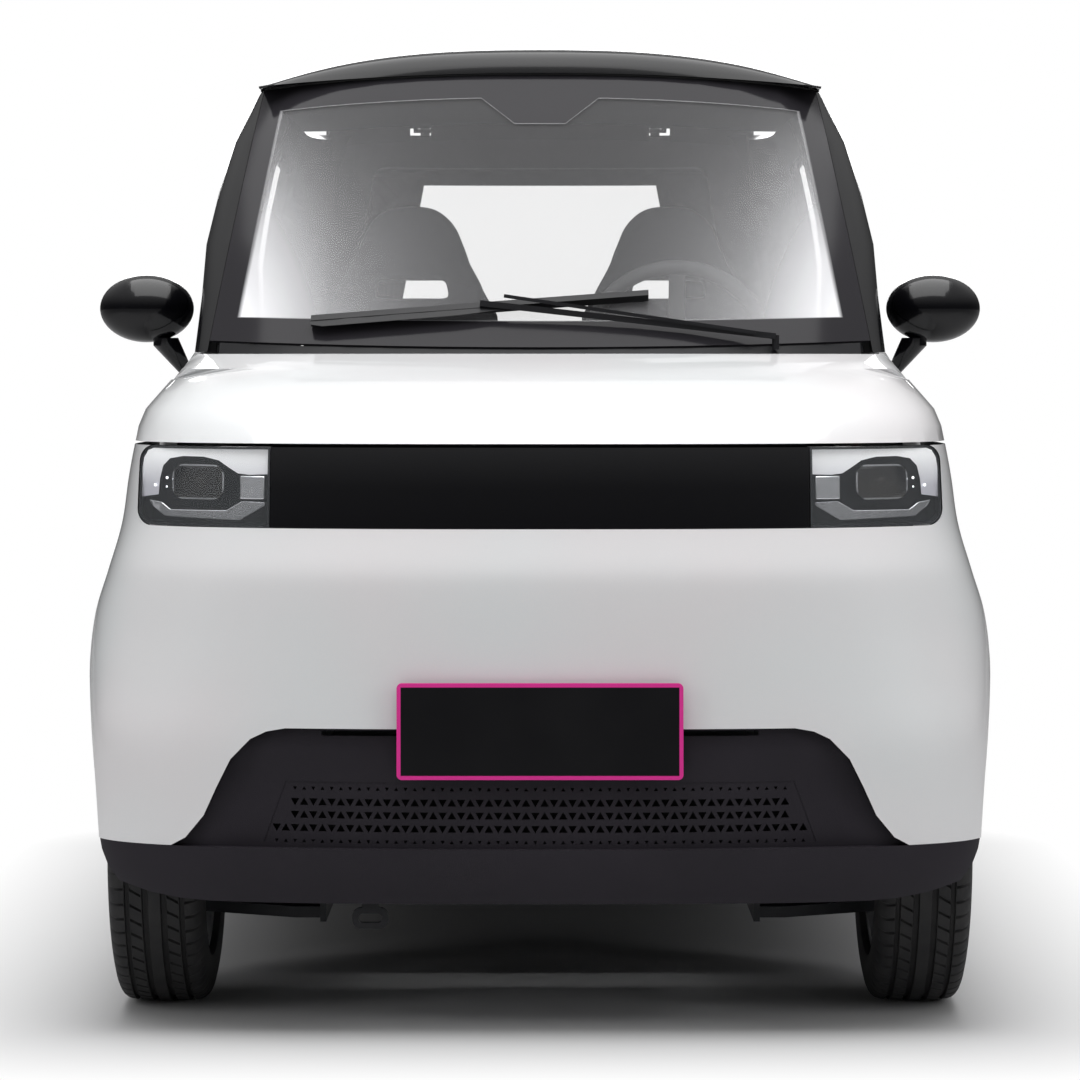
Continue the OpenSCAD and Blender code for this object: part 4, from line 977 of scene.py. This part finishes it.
choose(back_pad, lambda face: abs(face.calc_center_median().z - 1.222) < 0.030 and
       abs(face.calc_center_median().x - seat_mid) < 0.078 and abs(face.normal.y) > 0.6)
bpy.ops.mesh.bridge_edge_loops()
bpy.ops.object.mode_set(mode="OBJECT")
puff(back_pad, 0.0065, 3.0, 0.009)
bpy.ops.object.shade_smooth()
sew(back_pad, [lambda at, level=level: abs(at.z - level) + max(abs(at.x - seat_mid) - 0.120, 0) * 0.4
               for level in (0.64, 0.76, 0.88, 1.00, 1.12)]
    + [lambda at: abs(abs(at.x - seat_mid) - 0.128) + max(at.z - 1.14, 0) * 0.5], 0.006, 0.006)

cushion = divided("seat_cushion_left", 19)
for corner in cushion.data.vertices:
    u, v, w = corner.co.x * 2, corner.co.y + 0.5, corner.co.z + 0.5
    wide = 0.186 - 0.012 * abs(v - 0.5) * 2
    along = -0.085 + 0.505 * v
    top = 0.515 + 0.012 * abs(u) ** 3 - 0.010 * v + 0.010 * ease(1 - v * 6) - 0.022 * ease(1 - v * 9)
    corner.co = (seat_mid + u * wide, along + 0.012 * (abs(u) ** 3) * (1 - 2 * v), 0.432 + (top - 0.432) * w)
puff(cushion, 0.0065, 3.0, 0.009)
bpy.ops.object.shade_smooth()
sew(cushion, [lambda at, level=level: abs(at.y - level) + max(abs(at.x - seat_mid) - 0.120, 0) * 0.4
              + max(0.48 - at.z, 0) for level in (0.02, 0.12, 0.22, 0.32)]
    + [lambda at: abs(abs(at.x - seat_mid) - 0.128) + max(0.48 - at.z, 0)], 0.006, 0.006)

base = fresh("cube", "seat_base_left", (0.300, 0.420, 0.196), size=1, location=(seat_mid, 0.19, 0.330))
inset(base, lambda face: abs(face.normal.x) > 0.9, (0.030, -0.012))
soften(base, 0.008, 3)
foam_fill = 0.8
for pad, stuff, slot, fill in ((back_pad, cloth_grey, "seat_fabric", foam_fill),
                               (cushion, cloth_grey, "seat_fabric", foam_fill),
                               (base, satin_black, "black_plastic", None)):
    settle(pad, "body", stuff, 60)
    other = pad.copy()
    other.data = pad.data.copy()
    other.name = pad.name.replace("left", "right")
    bpy.context.scene.collection.objects.link(other)
    other.data.transform(Matrix.Translation((-2 * seat_mid, 0, 0)))
    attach(other, "body")
    for piece in (pad, other):
        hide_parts("seat_left" if piece is pad else "seat_right")


# DARK SEALS AND LININGS. Rubber seals behind the shut lines of the doors and the tailgate,
# a black sheet behind the grille and a grey felt headliner under the roof.
rubber_seal = moulded("rubber_seal", (0.008, 0.008, 0.009), 800, 0.0001, 0.7)
backing = fresh("grid", "grille_backing", x_subdivisions=30, y_subdivisions=2, size=1)
for corner in backing.data.vertices:
    across = corner.co.x * 0.84
    corner.co = (across, between(depth_rows, abs(across)) + 0.018, grille_height + corner.co.y * 0.092)
thicken(backing, 0.002)
settle(backing, "body", rubber_seal, 40)

strips = []
for low_x, high_x, at_y in ((-0.2360, 0.2360, 1.062), (0.2800, 0.4600, 1.045), (-0.4600, -0.2800, 1.045)):
    strip = fresh("grid", "tailgate_seal", x_subdivisions=12, y_subdivisions=2, size=1)
    for corner in strip.data.vertices:
        across = low_x + (high_x - low_x) * (corner.co.x + 0.5)
        top = 1.5785 - 0.09 * across * across
        corner.co = (across, at_y - 0.12 * across * across, top - 0.034 * (0.5 - corner.co.y))
    strips.append(strip)
heights = (1.12, 1.2, 1.3, 1.4, 1.5, 1.545)
gap_across = list(zip(heights, (0.508, 0.500, 0.486, 0.470, 0.4555, 0.449)))
gap_back = list(zip(heights, (1.135, 1.122, 1.092, 1.066, 1.043, 1.034)))
frame_across = list(zip(heights, (0.545, 0.523, 0.507, 0.489, 0.461, 0.4525)))
for side in (1, -1):
    strip = fresh("grid", "tailgate_seal", x_subdivisions=2, y_subdivisions=10, size=1)
    for corner in strip.data.vertices:
        high = 1.12 + 0.425 * (corner.co.y + 0.5)
        inner = between(gap_across, high) - 0.013
        outer = between(frame_across, high)
        corner.co = (side * (inner + (outer - inner) * (corner.co.x + 0.5)), between(gap_back, high), high)
    strips.append(strip)
gutter = joined(strips, "tailgate_seal")
thicken(gutter, 0.003)
settle(gutter, "body", rubber_seal, 40)


def inside(node, y, z):
    """How far from the middle the inner face of a CAD node lies at y and z, or None."""
    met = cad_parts[node].ray_cast(Vector((0.2, y, z)), Vector((1, 0, 0)))
    return met[1].x if met[0] else None


for side, tag in sides:
    strip = fresh("grid", "door_seal_" + tag, x_subdivisions=2, y_subdivisions=16, size=1)
    for corner in strip.data.vertices:
        along = corner.co.y + 0.5
        gap_y, gap_z = -0.255 - 0.265 * along, 1.530 - 0.440 * along
        reach = [inside("cabin_frame", gap_y - 0.014, gap_z), inside("door_left", gap_y + 0.016, gap_z)]
        reach = min([0.60] + [value for value in reach if value])
        corner.co = (side * (reach - 0.0025), gap_y + 0.024 * corner.co.x, gap_z)
    thicken(strip, 0.003)
    settle(strip, "body", rubber_seal, 40)

headliner = moulded("headliner", (0.012, 0.012, 0.013), 900, 0.0002, 0.9)
for panel in ("roof", "cabin_frame", "tailgate"):
    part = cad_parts[panel]
    part.data.materials.append(headliner.material)
    for face in part.data.polygons:
        inner = face.normal.z < -0.4 if panel == "roof" else face.normal.y < -0.3 if panel == "tailgate" \
            else face.normal.x * face.center.x < 0 and abs(face.normal.x) > 0.5
        if inner:
            face.material_index = 1


# MIRRORS, HANDLES AND WIPER DETAIL. Mirror glass in the back of each housing, a thin silver
# line on its lower edge, pull handles on the doors and a boxed cover along the wiper blade.
mirror_silver = Finish("mirror_silver", roughness=0.03, Metallic=1.0)
mirror_silver.give(Base_Color=mirror_silver.blend(mirror_silver.noise(4, 1), (0.70, 0.72, 0.74),
                                                  (0.78, 0.79, 0.80)))
mirror_height = 1.155
low_y, high_y, handle_height, handle_across = 0.165, 0.315, 0.925, 0.668
for side, tag in sides:
    low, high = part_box("mirror_" + tag)
    middle_x, back_y = (low[0] + high[0]) / 2, high[1]
    glass = fresh("circle", "mirror_glass_" + tag, (0.066, 0.047, 1), vertices=64, radius=1, fill_type="NGON",
                  location=(middle_x, back_y + 0.0015, mirror_height), rotation=(math.radians(-90), 0, 0))
    choose(glass, lambda face: True)
    bpy.ops.mesh.extrude_region_move(TRANSFORM_OT_translate={"value": (0, -0.0015, 0)})
    bpy.ops.mesh.select_all(action="SELECT")
    bpy.ops.mesh.normals_make_consistent(inside=False)
    settle(glass, "door_" + tag, mirror_silver, 30)
    line = fresh("torus", "mirror_line_" + tag, major_segments=72, minor_segments=8, major_radius=1,
                 minor_radius=0.016, location=(0, 0, 0), rotation=(math.radians(90), 0, 0))
    choose(line, lambda face: face.calc_center_median().z > -0.12 or face.calc_center_median().x * side < -0.35)
    bpy.ops.mesh.delete(type="FACE")
    choose(line, lambda edge: edge.is_boundary, "EDGE")
    bpy.ops.mesh.fill_holes(sides=0)
    bpy.ops.object.mode_set(mode="OBJECT")
    for corner in line.data.vertices:
        corner.co = (middle_x + corner.co.x * 0.0800, -0.4560 + corner.co.y * 0.05,
                     mirror_height + corner.co.z * 0.0578)
    settle(line, "door_" + tag, bright_metal, 40)

    grip = divided("door_handle_" + tag, 9)
    for corner in grip.data.vertices:
        u, v, w = corner.co.y * 2, corner.co.x + 0.5, corner.co.z * 2
        along = (low_y + high_y) / 2 + u * (high_y - low_y) / 2
        reach = handle_across - 0.22 * (w * 0.011) + 0.016 * (1 - 0.6 * abs(u) ** 4) * v
        corner.co = (side * reach, along, handle_height + w * (0.011 - 0.002 * abs(u) ** 3) * (1 - 0.12 * v))
    outward(grip)
    soften(grip, 0.002, 2)
    settle(grip, "door_" + tag, gloss_black, 40)

blade = divided("wiper_cover", 15)
for corner in blade.data.vertices:
    u, v, w = corner.co.x + 0.5, corner.co.y + 0.5, corner.co.z * 2
    x = -0.384 + 0.33 * u
    tall = 0.0095 * (1 - 0.35 * ease((u - 0.7) / 0.3)) * (1 - 0.5 * ease((0.05 - u) / 0.05))
    z = 1.127 + (0.38 + x) * 0.080 + w * tall
    corner.co = (x, on_nose("windscreen", x, max(z, 1.09)) - 0.026 + 0.014 * v, z)
soften(blade, 0.0015)
settle(blade, "body", satin_black, 40)


# DASHBOARD DETAIL. A slim display on the middle of the dashboard, four round air vents with
# three slats each, and a moulded armrest on each door's trim card.
display_glass = Finish("display_glass", roughness=0.12, Coat_Weight=0.6)
display_glass.give(Base_Color=display_glass.blend(display_glass.noise(6, 1), (0.004, 0.005, 0.006),
                                                  (0.012, 0.014, 0.018)))
screen = fresh("cube", "dash_display", (0.220, 0.040, 0.110), size=1, location=(0.02, -0.431, 1.070))
inset(screen, lambda face: face.normal.y > 0.9, (0.006, -0.001))
soften(screen, 0.003)
settle(screen, "body", display_glass, 30)
vents = []
for across in (-0.42, -0.13, 0.13, 0.42):
    vent = fresh("cylinder", "vent", vertices=40, radius=0.034, depth=0.020, location=(across, -0.372, 0.985),
                 rotation=(math.radians(90 - 14), 0, 0))
    inset(vent, lambda face: face.normal.y > 0.8, (0.004, 0), (0.001, -0.010))
    vents.append(vent)
    for slat in (-1, 0, 1):
        vents.append(fresh("cube", "slat", (0.056 - 0.012 * abs(slat), 0.012, 0.0022), size=1,
                           location=(across, -0.366, 0.987 + 0.016 * slat)))
settle(joined(vents, "dash_vents"), "body", satin_black, 40)
for side, tag in sides:
    rest = divided("armrest_" + tag, 9)
    for corner in rest.data.vertices:
        u, v, w = corner.co.y * 2, corner.co.x + 0.5, corner.co.z + 0.5
        corner.co = (side * (0.6555 - 0.050 * v * (1 - 0.4 * abs(u) ** 4)), 0.06 + 0.21 * u,
                     0.735 + 0.030 * w + 0.012 * u)
    outward(rest)
    soften(rest, 0.004)
    settle(rest, "door_" + tag, trim_card, 40)


# CABIN. Soft-touch dashboard and a steering wheel bound in grey leather.
soft_touch = moulded("soft_touch", (0.030, 0.031, 0.034), 650, 0.0003, 0.62)
dress("dashboard", soft_touch)
wheel_leather = moulded("wheel_leather", (0.115, 0.115, 0.120), 1100, 0.0002, 0.55)
dress("steering_wheel", wheel_leather)
